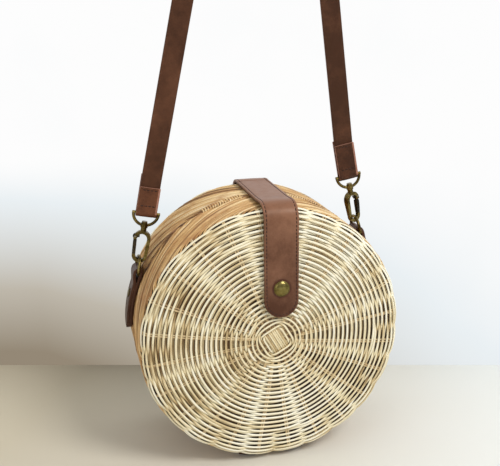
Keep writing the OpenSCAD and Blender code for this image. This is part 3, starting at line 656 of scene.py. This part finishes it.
class Bench:
    """A material's nodes, added one after another; an input is a number, a colour or a wire."""

    def __init__(self, name):
        self.material = bpy.data.materials.new(name)
        self.material.use_nodes = True
        self.tree = self.material.node_tree
        self.tree.nodes.clear()
        self.out = self.add("OutputMaterial")
        self.shader = self.add("BsdfPrincipled")
        self.feed(self.out.inputs[0], self.wire(self.shader))
        self.place = self.wire(self.add("TexCoord"), "Object")

    def feed(self, slot, value):
        if isinstance(value, Wire):
            self.tree.links.new(value.socket, slot)
        else:
            slot.default_value = value

    def fill(self, node, **named):
        for name, value in named.items():
            self.feed(node.inputs[name.replace("_", " ")], value)

    def add(self, kind, *first, **named):
        node = self.tree.nodes.new("ShaderNode" + kind)
        for slot, value in zip(node.inputs, first):
            self.feed(slot, value)
        self.fill(node, **named)
        return node

    def wire(self, node, outlet=0):
        return Wire(self, node.outputs[outlet])

    def parts(self, vector):
        """The x, y and z of a vector."""
        node = self.add("SeparateXYZ", vector)
        return [self.wire(node, i) for i in range(3)]

    def sum(self, op, a, b=0.0):
        node = self.add("Math", a, b)
        node.operation = op
        return self.wire(node)

    def ramp(self, value, *stops):
        node = self.add("ValToRGB", value)
        while len(node.color_ramp.elements) < len(stops):
            node.color_ramp.elements.new(0.5)
        for element, (place, shade) in zip(node.color_ramp.elements, stops):
            element.position, element.color = place, colour(shade)
        return self.wire(node)

    def blend_in(self, amount, under, shade):
        mix = self.add("Mix")
        mix.data_type = "RGBA"
        for slot, value in ((0, amount), (6, under), (7, colour(shade))):
            self.feed(mix.inputs[slot], value)
        return self.wire(mix, 2)

    def noise(self, vector, scale, detail, stretch=None):
        if stretch:
            vector = self.wire(self.add("Mapping", vector, Scale=stretch))
        return self.wire(self.add("TexNoise", Vector=vector, Scale=scale, Detail=detail))

    def read(self, name):
        """The number that mark wrote."""
        node = self.add("Attribute")
        node.attribute_name = name
        return self.wire(node, "Fac")

    def finish(self, bump, strength, depth, **values):
        """Gives the shader its bump and its other inputs."""
        normal = self.wire(self.add("Bump", Height=bump, Strength=strength, Distance=depth))
        self.fill(self.shader, Normal=normal, **values)
        return self.material


def cane(name, roughness, *shades, patches=None, rows=False):
    """Peeled cane: long fibres, stains that come and go along the reed, tone from the weave."""
    b = Bench(name)
    uv = b.wire(b.add("UVMap"))
    fibre = b.noise(uv, 2.2, 5.0, (0.06, 8.0, 1.0))
    stain = b.noise(uv, 1.0, 3.0, (0.045, 0.5, 1.0))
    speck = b.noise(uv, 3.0, 2.0, (0.35, 1.5, 1.0))
    tone = (fibre * 0.34 + stain * 0.5 - 0.42 + b.read("tone")).kept()
    if rows:
        # the rows of the face, as they show on the inside
        centre = to_part([0, 0, 0])
        x, _, z = b.parts(b.place)
        out = ((x - float(centre[0])) ** 2.0 + (z - float(centre[2])) ** 2.0) ** 0.5
        tone = tone + 0.38 + b.sum("SINE", out * (TURN / (REED_PITCH * MM))) * 0.16
    shade = b.ramp(tone, *shades)
    if patches:
        # skin left on the cane here and there
        skin = b.noise(b.place, 85.0, 5.0)
        shade = b.blend_in(((skin - 0.5) * 6.0).kept() * 0.6, shade, patches)
    return b.finish(fibre + speck * 0.5, 0.35, 0.00022, Base_Color=shade, Specular_IOR_Level=0.5,
                    Roughness=speck * 0.3 + (roughness - 0.15))


def leather(name, dark, light, edge, roughness, coat):
    """Smooth finished leather: cloudy dye, fine pores, paint of another shade on its cut edge, and the painted light
    and shade that a strip writes onto it.
    """
    b = Bench(name)
    pore_scale = 1500.0
    cloud = b.noise(b.place, 38.0, 5.0)
    fine = b.noise(b.place, pore_scale * 0.55, 4.0)
    pores = b.wire(b.add("TexVoronoi", Vector=b.place, Scale=pore_scale), "Distance")
    scuff = b.noise(b.place, 210.0, 6.0)
    # the number that a strip writes holds its dye together with its painted light and shade
    dye_and_painted_light = (fine * 0.22 + cloud - 0.11 + (scuff - 0.5) * 0.35).kept() + b.read("dye_and_painted_light")
    # edge paint on the cut sides, and part of it in the grooves and hollows of the top face as a painted shade
    painted = ((b.read("edge") - 0.12) * 5.0).kept()
    return b.finish(pores * 0.6 + fine, 0.22, 0.00018, Roughness=scuff * 0.26 + (roughness - 0.13),
                    Base_Color=b.blend_in(painted, b.ramp(dye_and_painted_light, (0.2, dark), (0.8, light)), edge),
                    Specular_IOR_Level=0.24, Specular_Tint=(1.0, 0.8, 0.66, 1.0), Coat_Weight=coat,
                    Coat_Roughness=0.3)


def raw_leather(name, dark, light):
    """The rough side of leather, with its fibres."""
    b = Bench(name)
    fibre, cloud = b.noise(b.place, 900.0, 5.0), b.noise(b.place, 120.0, 3.0)
    shade = b.ramp(fibre * 0.5 + cloud * 0.5, (0.3, dark), (0.7, light))
    return b.finish(fibre, 0.5, 0.0003, Base_Color=shade, Roughness=0.8, Specular_IOR_Level=0.25)


def waxed_thread(name, dark, light):
    b = Bench(name)
    twist = b.noise(b.place, 2600.0, 2.0)
    shade = b.ramp(twist, (0.3, dark), (0.7, light))
    return b.finish(twist, 0.6, 0.0002, Base_Color=shade, Roughness=0.62, Specular_IOR_Level=0.3)


def aged_metal(name, dark, middle, worn, roughness):
    """Cast metal that has darkened in patches, with fine scratches."""
    b = Bench(name)
    patch, fine = b.noise(b.place, 170.0, 6.0), b.noise(b.place, 1100.0, 3.0)
    shade = b.ramp(patch * 0.75 + fine * 0.25, (0.32, dark), (0.52, middle), (0.72, worn))
    return b.finish(patch + fine * 0.4, 0.16, 0.00012, Base_Color=shade, Metallic=1.0,
                    Roughness=patch * 0.35 + (roughness - 0.17))


FACE_CANE = cane("face_cane", 0.44, (0.0, (70, 46, 26)), (0.3, (134, 104, 64)), (0.52, (208, 184, 136)),
                 (0.72, (242, 229, 192)), (1.0, (253, 248, 228)))
STAKE_CANE = cane("stake_cane", 0.5, (0.0, (74, 50, 30)), (0.35, (140, 106, 66)), (0.6, (206, 180, 134)),
                  (1.0, (240, 228, 196)))
WALL_CANE = cane("wall_cane", 0.5, (0.0, (64, 40, 20)), (0.28, (136, 96, 52)), (0.52, (205, 162, 103)),
                 (0.78, (234, 205, 152)), (1.0, (248, 232, 196)), patches=(176, 122, 70))
# the dark sheet behind the rows: painted shade
PAINTED_SHADE_CANE = cane("painted_shade_cane", 0.7, (0.0, (58, 38, 22)), (0.5, (104, 74, 44)), (1.0, (150, 116, 74)))
INSIDE_CANE = cane("inside_cane", 0.6, (0.0, (110, 80, 48)), (0.5, (176, 142, 96)), (1.0, (214, 186, 140)),
                   rows=True)
FLAP_LEATHER = leather("flap_leather", (76, 44, 29), (134, 94, 72), (84, 50, 38), 0.4, 0.04)
LINING_LEATHER = leather("lining_leather", (84, 56, 40), (108, 76, 56), (46, 27, 20), 0.62, 0.0)
STRAP_LEATHER = leather("strap_leather", (62, 36, 23), (104, 66, 46), (108, 68, 52), 0.46, 0.0)
END_LEATHER = leather("end_leather", (60, 34, 22), (120, 75, 52), (62, 36, 26), 0.44, 0.0)
TAB_LEATHER = leather("tab_leather", (60, 36, 26), (82, 52, 38), (36, 22, 16), 0.42, 0.08)
RAW_EDGE = raw_leather("raw_edge", (132, 88, 70), (176, 128, 108))
DARK_THREAD = waxed_thread("dark_thread", (40, 22, 16), (62, 36, 26))
BRASS = aged_metal("aged_brass", (58, 48, 26), (108, 92, 50), (166, 148, 92), 0.3)
CAP_BRASS = aged_metal("cap_brass", (84, 74, 38), (128, 114, 64), (176, 162, 108), 0.24)
DARK_BRASS = aged_metal("dark_brass", (30, 27, 24), (58, 52, 42), (104, 92, 66), 0.38)
STEEL = aged_metal("steel", (104, 100, 92), (140, 136, 128), (180, 176, 168), 0.34)


# -------- the two woven halves
def place_piece(piece, body, slot, *nodes):
    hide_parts(*nodes)
    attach(piece, body)


# each piece draws its own numbers, the same ones in every run
dice = np.random.default_rng
for side, depth, word, body in ((-1, FRONT_DEPTH, "front", "front"), (1, REAR_DEPTH, "rear", "bag")):
    woven = ((weave_face(side, depth, f"{word}_face_weave", dice(11 + side)), "reed", "shell"),
             (inner_wall(side, depth, f"{word}_weave_back"), "reed", "shell"),
             (knot(side, depth, f"{word}_centre_knot", dice(21 + side)), "reed", "cross"),
             (stake_sticks(side, depth, f"{word}_stake_sticks", dice(31 + side)), "stake", "stakes"),
             (wall_strands(side, depth, f"{word}_wall_strands", dice(51 + side)), "stake", "rim_rod"),
             (rim_whipping(side, depth, f"{word}_rim_binding", dice(61 + side)), "stake", "rim_rod"))
    for piece, slot, node in woven:
        place_piece(piece, body, slot, f"{word}_{node}")


# -------- closure strap
FLAP_X, FLAP_W, FLAP_T, FLAP_GAP, LINING_T = 2.7, 25.5, 2.4, 0.65, 1.0
OUTER_T = FLAP_T - LINING_T - 0.1
TIP_Z, TAIL_Z, CREASE_Y, SNAP_Z, CAP_R = 19.5, 58.0, 30.0, 41.5, 5.9
FRONT_RUN = FACE_LEN + EDGE_LEN + FRONT_DEPTH + SEAM_HALF
BOTH_RUNS = FRONT_RUN + FACE_LEN + EDGE_LEN + REAR_DEPTH + SEAM_HALF
RUN_STEP = 0.25
CAP_RUN = SNAP_Z - TIP_Z
SEAM_INSET, STITCH_PITCH = 1.7, 2.7


def over_bag(run, out):
    """Places over the bag in its middle plane, run millimetres from the centre of the front face."""
    front = run <= FRONT_RUN
    r, h, _, _ = face_point(np.where(front, run, BOTH_RUNS - run), out)
    depth = np.where(front, FRONT_DEPTH, REAR_DEPTH)
    return SEAM_Y + np.where(front, -1, 1) * (SEAM_HALF + depth + h), r


def soft_run(line, spread):
    """A line of places with its bends eased, as thick leather bends."""
    reach = int(4 * spread / RUN_STEP)
    weights = np.exp(-0.5 * (np.arange(-reach, reach + 1) * RUN_STEP / spread) ** 2)
    weights /= weights.sum()
    eased_line = []
    for c in line:
        before, after = 2 * c[0] - c[reach:0:-1], 2 * c[-1] - c[-2:-reach - 2:-1]
        eased_line.append(np.convolve(np.concatenate([before, c, after]), weights, mode="valid"))
    return np.stack(eased_line, -1)


def lay_flap(u, v, w):
    """w = 0 is the underside of the strap's lining; the sides of the strap droop a little on the top."""
    (y, z), (dy, dz) = flap_path.at(u), flap_path.heading(u)
    droop = 0.25 * (v / (FLAP_W / 2)) ** 2 * share((z - 90) / 8)
    return np.stack([FLAP_X + v, y - w * dz, z + w * dy - droop], -1)


def lay_flap_top(u, v, w):
    return lay_flap(u, -v, w + FLAP_T)


def flap_relief(u, v):
    """A rolled rim, a groove for the stitches, a crease where the strap lifts and a dimple round the cap."""
    d = from_outline(u, v, flap_path.length, FLAP_W, round_start=True)
    return 0.14 * bead(d, 0.8, 0.4) - 0.22 * bead(d, 1.75, 0.4) - 0.35 * bead(u, flap_crease, 0.8) \
        - 0.5 * bead(np.hypot(u - CAP_RUN, v), 6.4, 1.1)


def crease_at(run):
    """A place in the middle of the strap, run millimetres past its crease."""
    return tuple(to_part(lay_flap(np.array([flap_crease + run]), np.array([0.0]), np.array([1.2])))[0])


flap_runs = np.arange(DOME_R * asin(TIP_Z / DOME_R), BOTH_RUNS - DOME_R * asin(TAIL_Z / DOME_R), RUN_STEP)
# the strap stands off a little more where it bends over the front and the rear edge
front_bend = FACE_LEN + EDGE_LEN / 2
stand_off = 2.3 * bead(flap_runs, front_bend, 10.0) + 1.0 * bead(flap_runs, BOTH_RUNS - front_bend, 10.0)
flap_path = Path(soft_run(over_bag(flap_runs, FLAP_GAP + stand_off), 5.0))
flap_crease = float(np.interp(CREASE_Y, flap_path.points[:, 0], flap_path.gone))

flap = strip_blank("closure_strap_leather", FLAP_LEATHER, flap_path.length, FLAP_W, OUTER_T, 240, 60, 0.42,
                   round_start=True)
# darker on the front, paler where the strap runs over the top: a painted highlight where it bends over the top and
# painted shade on the front
lay_strip(flap, lay_flap_top, OUTER_T, flap_relief,
          lambda u, v: np.interp(u, (0, 18, 50, 75, 95), (-0.28, -0.16, 0.08, 0.3, 0.36)))
lining = strip_blank("closure_strap_lining", LINING_LEATHER, flap_path.length, FLAP_W - 0.3, LINING_T, 240, 30, 0.3,
                     round_start=True)
lay_strip(lining, lambda u, v, w: lay_flap(u + 0.1, -v, w + LINING_T), LINING_T)
flap_seam = sew("closure_strap_stitches", lay_flap_top,
                [stitch_line(flap_path.length, FLAP_W, 1.75, round_start=True, end=1.6)], flap_relief, STITCH_PITCH)
for piece, *nodes in ((flap, "closure_strap", "closure_tail"), (lining, "closure_lining"),
                      (flap_seam, "closure_strap")):
    crease_at(6.0)
    crease_at(-6.0)
    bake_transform(piece)
    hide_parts(*nodes)


def make_snap_cap():
    """The cap of the press stud: a pressed dome with a rolled rim."""
    dome_h, dome_foot, rim_wire, set_in = 2.1, 0.45, 0.42, 0.15
    clear_bench()
    bpy.ops.mesh.primitive_uv_sphere_add(segments=48, ring_count=28, radius=1)
    turn_to("EDIT")
    bpy.ops.mesh.select_all(action="SELECT")
    bpy.ops.mesh.bisect(plane_co=(0, 0, 0.02), plane_no=(0, 0, 1), clear_inner=True, use_fill=True)
    turn_to("OBJECT")
    dome = bpy.context.object
    move_points(dome, points_of(dome) * (CAP_R - 0.35, CAP_R - 0.35, dome_h) + (0, 0, dome_foot))
    clear_bench()
    bpy.ops.mesh.primitive_torus_add(major_segments=48, minor_segments=12, major_radius=CAP_R - 0.4,
                                     minor_radius=rim_wire, location=(0, 0, rim_wire))
    bpy.ops.object.transform_apply(location=True)
    cap = join_pieces([dome, bpy.context.object], "snap_cap_dome")
    a, b, c = points_of(cap).T
    # it leans back with the dome of the face
    lean = asin(SNAP_Z / DOME_R)
    y, z = flap_path.at(CAP_RUN)
    out = c + FLAP_T - set_in
    move_points(cap, to_part(np.stack([FLAP_X + a, y - out * cos(lean) + b * sin(lean),
                                       z + out * sin(lean) + b * cos(lean)], -1)))
    face_out(cap)
    cap.data.materials.append(CAP_BRASS)
    smooth_shade(cap, 50)
    place_piece(cap, "flap", "brass", "snap_cap")


make_snap_cap()


# -------- side tabs, folded round the ring's bar
TAB_W, TAB_T, TAB_LEN, TAB_SEAM = 15.0, 2.2, 47.0, 40.0
TAB_OUT_R = BAG_R + 0.3 + 2 * TAB_T


def tab_line(angle):
    """Outer layer upwards, over the bar, inner layer down again: middle of the leather, right hand side."""
    wrap = BAR_WIRE_R + 0.06 + TAB_T / 2
    f = np.linspace(0, TAB_LEN / TAB_OUT_R, 90)
    ease = eased(f / radians(5.8))
    outer = arc((RING_BAR_R + wrap) * (1 - ease) + (TAB_OUT_R - TAB_T / 2 + 0.02) * ease, angle - f)
    fold = arc(RING_BAR_R, angle) + arc(wrap, angle + np.linspace(0, pi, 26)[1:-1])
    ease = share(f / radians(3))
    inner = arc((RING_BAR_R - wrap) * (1 - ease) + (TAB_OUT_R - 1.5 * TAB_T - 0.02) * ease, angle - f)
    return np.concatenate([outer[::-1], fold, inner])


def make_tab(name, side):
    angle = TAB_ANGLE[side] if side > 0 else 180 - TAB_ANGLE[side]
    path = Path(tab_line(radians(angle)) * (side, 1))

    def lay(u, v, w):
        x, z = path.beside(u, side * (w + TAB_T / 2))
        return np.stack([x, TAB_Y + side * v, z], -1)

    def relief(u, v):
        d = from_outline(u, v, path.length, TAB_W, True, True)
        return 0.12 * bead(d, 0.8, 0.5) - 0.3 * bead(d, SEAM_INSET, 0.4) * (u < TAB_LEN)

    tab = strip_blank(f"{name}_tab_leather", TAB_LEATHER, path.length, TAB_W, TAB_T, 190, 24, 0.5, True, True)
    lay_strip(tab, lay, TAB_T, relief)
    seam = sew(f"{name}_tab_stitches", lay, [stitch_line(TAB_SEAM, TAB_W, SEAM_INSET, round_start=True)],
               relief, STITCH_PITCH)
    for piece in (tab, seam):
        place_piece(piece, "bag", "strap_leather", f"{name}_tab")


make_tab("right", 1)
make_tab("left", -1)


# -------- shoulder strap and its folded ends
STRAP_W, STRAP_T, END_T, END_LEN, END_EXTRA = 15.0, 2.0, 1.6, 26.0, 3.0
END_FRONT = {-1: 20.0, 1: END_LEN}
RING_REACH, RING_LEAN, HOOK_LEAN = 7.6, radians(10), radians(11)
EYE_BAR_V, EYE_WIRE = 37.4, 2.3
BEND_CENTRE, BEND_R, FLAT_STRETCH = np.array([9.0, 485.0]), 12.0, 150.0


def leaning(side, lean):
    """A direction in the plane of the tabs that leans in from upright."""
    return np.array([-side * sin(lean), cos(lean)])


def hook_point(side, v):
    """A height v on a hook, in the plane of the tabs (x, z)."""
    return arc(RING_BAR_R, radians(TAB_ANGLE[side])) + RING_REACH * leaning(side, RING_LEAN) \
        + v * leaning(side, HOOK_LEAN)


def strap_leg(side):
    """Middle line and twist of one leg, from its folded end up to the bend at the top."""
    low = [hook_point(side, v) for v in np.linspace(EYE_BAR_V + EYE_WIRE, EYE_BAR_V + END_LEN, 12)[:-1]]
    start = hook_point(side, EYE_BAR_V + END_LEN)
    d = start - BEND_CENTRE
    touch = atan2(d[1], d[0]) + side * acos(BEND_R / np.linalg.norm(d))
    end = BEND_CENTRE + arc(BEND_R, touch)
    q = np.linspace(0, 1, 80)
    flat = FLAT_STRETCH / np.linalg.norm(end - start)
    twist = np.concatenate([np.zeros(len(low)), eased((q - flat) / (1 - flat)) * pi / 2])
    return np.concatenate([low, start + q[:, None] * (end - start)]), twist, touch


left_line, left_twist, left_touch = strap_leg(-1)
right_line, right_twist, right_touch = strap_leg(1)
over = np.linspace(left_touch + TURN, right_touch, 34)[1:-1]
strap_path = Path(np.concatenate([left_line, BEND_CENTRE + arc(BEND_R, over), right_line[::-1]]))
strap_twist = np.concatenate([left_twist, np.full(len(over), pi / 2), pi - right_twist[::-1]])


def lay_shoulder(u, v, w):
    (x, z), (dx, dz) = strap_path.at(u), strap_path.heading(u)
    t = np.interp(u, strap_path.gone, strap_twist)
    # across the strap: in the plane of the loop at the hooks, along y at the top; thick is square to it
    wide = np.stack([np.cos(t) * dz, np.sin(t), -np.cos(t) * dx], -1)
    thick = np.cross(np.stack([dx, 0 * dx, dz], -1), wide)
    return np.stack([x, TAB_Y + 0 * x, z], -1) + v[..., None] * wide + (w + STRAP_T / 2)[..., None] * thick


strap = strip_blank("shoulder_strap_leather", STRAP_LEATHER, strap_path.length, STRAP_W, STRAP_T, 420, 14, 0.55)
# thinner towards its sides; a little paler on the left leg and darker on the right, a painted light and shade
lay_strip(strap, lay_shoulder, STRAP_T, lambda u, v: -0.16 * share((np.abs(v) - 6.0) / 1.5) ** 2,
          lambda u, v: 0.09 * np.cos(pi * u / strap_path.length) - 0.2)
place_piece(strap, "strap", "strap_leather", "shoulder_strap")


def make_strap_end(name, side):
    """One piece of leather, folded round the eye's bar, with the strap sewn between its layers."""
    wrap = BAR_WIRE_R + END_T / 2 + 0.02
    up, width = END_FRONT[side], STRAP_W + 0.4
    front = np.stack([np.full(60, -wrap), np.linspace(up, 0, 60)], -1)
    fold = arc(wrap, np.linspace(pi, TURN, 26)[1:-1])
    rear = np.stack([np.full(66, wrap), np.linspace(0, END_LEN + END_EXTRA, 66)], -1)
    path = Path(np.concatenate([front, fold, rear]))
    base, lean = hook_point(side, EYE_BAR_V), leaning(side, HOOK_LEAN)

    def lay(u, v, w):
        y, h = path.beside(u, w + END_T / 2)
        return np.stack([base[0] + h * lean[0] + v * lean[1], TAB_Y + y, base[1] + h * lean[1] - v * lean[0]], -1)

    def relief(u, v):
        d = from_outline(u, v, path.length, width)
        return -0.24 * bead(d, 2.0, 0.4) - 0.12 * share((np.abs(v) - 6.4) / 1.3)

    end = strip_blank(f"{name}_strap_end_leather", END_LEATHER, path.length, width, END_T, 120, 18, 0.3,
                      cut_side=RAW_EDGE)
    for face in end.data.polygons:
        # the skived side of the front layer is left raw
        if face.center.y > 6.1 and face.center.x < up:
            face.material_index = 1
    # the right end is darker than the left: painted shade
    lay_strip(end, lay, END_T, relief, lambda u, v: -0.03 - 0.24 * (side > 0) + 0 * u)
    seam_half, seam_in, low_seam = 5.6, 2.1, 6.0
    rows = [[(u, -seam_half), (u, seam_half)] for u in (seam_in, up - low_seam)]
    seam = sew(f"{name}_strap_end_stitches", lay, rows, relief, 2.6)
    for piece in (end, seam):
        place_piece(piece, "strap", "strap_leather", f"{name}_strap_end")


make_strap_end("left", -1)
make_strap_end("right", 1)


# -------- bottom hinges, each one strap across the seam
HINGE_X, HINGE_W, HINGE_T, HINGE_LEAF, HINGE_SEAM = 19.0, 14.0, 2.0, 36.0, 32.0
HINGE_OUT_R = BAG_R + 0.4 + HINGE_T


def make_hinge(name, side):
    middle = -pi / 2 + side * asin(HINGE_X / HINGE_OUT_R)

    def lay(u, v, w):
        a, r = middle + v / HINGE_OUT_R, HINGE_OUT_R + w
        return np.stack([r * np.cos(a), SEAM_Y - HINGE_LEAF + u, r * np.sin(a)], -1)

    def relief(u, v):
        d = from_outline(u, v, 2 * HINGE_LEAF, HINGE_W)
        return -0.3 * bead(u, HINGE_LEAF, 0.7) - 0.26 * bead(d, SEAM_INSET, 0.4)

    hinge = strip_blank(f"{name}_hinge_leather", TAB_LEATHER, 2 * HINGE_LEAF, HINGE_W, HINGE_T, 110, 20, 0.4)
    lay_strip(hinge, lay, HINGE_T, relief)
    line = stitch_line(HINGE_SEAM, HINGE_W, SEAM_INSET, start=SEAM_INSET)
    seam = sew(f"{name}_hinge_stitches", lay, [line, line * (-1, 1) + (2 * HINGE_LEAF, 0)], relief, STITCH_PITCH)
    for piece in (hinge, seam):
        tuple(to_part([side * HINGE_X, SEAM_Y + 4.5, -BAG_R]))
        tuple(to_part([side * HINGE_X, SEAM_Y - 4.5, -BAG_R]))
        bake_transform(piece)
        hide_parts(f"{name}_hinge_rear", f"{name}_hinge_front")


make_hinge("left", -1)
make_hinge("right", 1)


# -------- metal pieces, carried over from the solids
def dress(material, *nodes):
    for node in nodes:
        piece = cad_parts[node]
        if not piece.material_slots:
            piece.data.materials.append(material)
        for slot in piece.material_slots:
            slot.material = material


dress(BRASS, "tab_rivets", "tail_rivets", "rear_hinge_rivets", "front_hinge_rivets")
dress(STEEL, "snap_socket", "snap_stud")
for name in ("left", "right"):
    dress(BRASS, f"{name}_hook_eye", f"{name}_hook_body", f"{name}_ring")
    dress(DARK_BRASS, f"{name}_gate")
    dress(STEEL, f"{name}_gate_pin", f"{name}_gate_spring")


# -------- floor, backdrop, light and camera
# The camera was fitted to the outline of the bag; the floor ends EDGE_LOW pixels below the middle of the view
YAW, PITCH, DISTANCE = radians(-14.147), radians(16.547), 587.132
LOOK_BESIDE, LOOK_UP = -7.269, 68.245
FOCAL, EDGE_LOW, VIEW_WIDTH, SENSOR = 760, 132, 500, 36.0
AHEAD = np.array([-sin(YAW), cos(YAW), 0.0])
RIGHT = np.array([cos(YAW), sin(YAW), 0.0])
LOOK_AT = RIGHT * LOOK_BESIDE + (0, 0, LOOK_UP)
EYE = LOOK_AT - AHEAD * DISTANCE * cos(PITCH) + (0, 0, DISTANCE * sin(PITCH))
FLOOR_Z = -102.2
FOOT = EYE * (1, 1, 0) + AHEAD * (EYE[2] - FLOOR_Z) / tan(PITCH + atan(EDGE_LOW / FOCAL))
WIDE = 2600.0


def paper(name, *stops, glows=False):
    """Pale paper with a painted shade that spreads from the lower left; paper that glows looks the same in any light,
    with its painted shade.
    """
    b = Bench(name)
    x, y, z = b.parts(b.place)
    foot = to_part(FOOT)
    beside = x * RIGHT[0] + y * RIGHT[1] - float(foot @ RIGHT)
    ahead = x * AHEAD[0] + y * AHEAD[1] - float(foot @ AHEAD)
    height = z - float(to_part([0, 0, FLOOR_Z])[2])
    # metres over which the painted shade fades: to the right, upwards, and towards the viewer
    left = ((0.24 - beside) / 0.44).kept()
    low = (1.0 - height / 0.21).kept()
    near = (ahead / 1.4 + 1.0).kept()
    shade = (left ** 1.3 + 0.11) * low ** 1.5 * near
    tint = b.ramp((shade + (b.noise(b.place, 9.0, 3.0) - 0.5) * 0.05).kept(), *stops)
    b.fill(b.shader, Base_Color=tint, Roughness=0.75, Specular_IOR_Level=0.2)
    if glows:
        ray = b.add("LightPath")
        seen, *others = (b.wire(ray, f"Is {kind} Ray") for kind in ("Camera", "Glossy", "Transmission"))
        for other in others:
            seen = b.sum("MAXIMUM", seen, other)
        glow = b.wire(b.add("Emission", Color=tint, Strength=1.0))
        b.feed(b.out.inputs[0], b.wire(b.add("MixShader", seen, b.wire(b.shader), glow)))
    return b.material


def stage_sheet(name, near, far, material):
    """A wide flat sheet between two sides, each counted ahead and up from the foot of the backdrop."""
    clear_bench()
    bpy.ops.mesh.primitive_plane_add(size=2)
    sheet = bpy.context.object
    sheet.name = sheet.data.name = name
    for vertex in sheet.data.vertices:
        ahead, up = far if vertex.co.y > 0 else near
        vertex.co = Vector(to_part(FOOT + RIGHT * WIDE * vertex.co.x + AHEAD * ahead + (0, 0, up)))
    sheet.data.materials.append(material)


def aim(thing, at, to):
    """Puts a lamp or the camera in its place and turns it to what it looks at."""
    bpy.context.scene.collection.objects.link(thing)
    thing.location = Vector(to_part(at))
    thing.rotation_euler = Vector(to_part(to) - to_part(at)).to_track_quat("-Z", "Y").to_euler()


def soft_lamp(name, at, to, size, power, tint):
    light = bpy.data.lights.new(name, "AREA")
    light.shape, light.size, light.energy, light.color = "DISK", size * MM, power, tint
    aim(bpy.data.objects.new(name, light), at, to)


# the darker stops of both papers are the painted shade of the lower left
FLOOR_PAPER = paper("floor_paper", (0.0, (233, 237, 237)), (0.5, (222, 217, 205)), (1.0, (208, 199, 178)))
BACK_PAPER = paper("backdrop_paper", (0.0, (253, 253, 253)), (0.1, (234, 240, 243)), (0.55, (190, 183, 170)),
                   (1.0, (148, 136, 118)), glows=True)
stage_sheet("floor", (-2 * WIDE, FLOOR_Z), (0, FLOOR_Z), FLOOR_PAPER)
stage_sheet("backdrop", (0, FLOOR_Z), (0, WIDE), BACK_PAPER)
soft_lamp("key", (640, -920, 1250), (0, 0, 60), 640, 15.5, (1.0, 0.985, 0.955))
soft_lamp("fill", (-700, -500, 300), (0, 0, 40), 700, 1.2, (0.96, 0.975, 1.0))
world = bpy.data.worlds.new("studio")
bpy.context.scene.world = world
world.use_nodes = True
sky = world.node_tree.nodes["Background"].inputs
sky[0].default_value, sky[1].default_value = (1.0, 1.0, 1.0, 1.0), 0.5

view = bpy.data.cameras.new("camera")
view.sensor_fit, view.sensor_width, view.clip_start = "HORIZONTAL", SENSOR, 0.01
view.lens = SENSOR * FOCAL / VIEW_WIDTH
camera = bpy.data.objects.new("camera", view)
aim(camera, EYE, LOOK_AT)
bpy.context.scene.camera = camera
bpy.context.scene.view_settings.view_transform = "Standard"
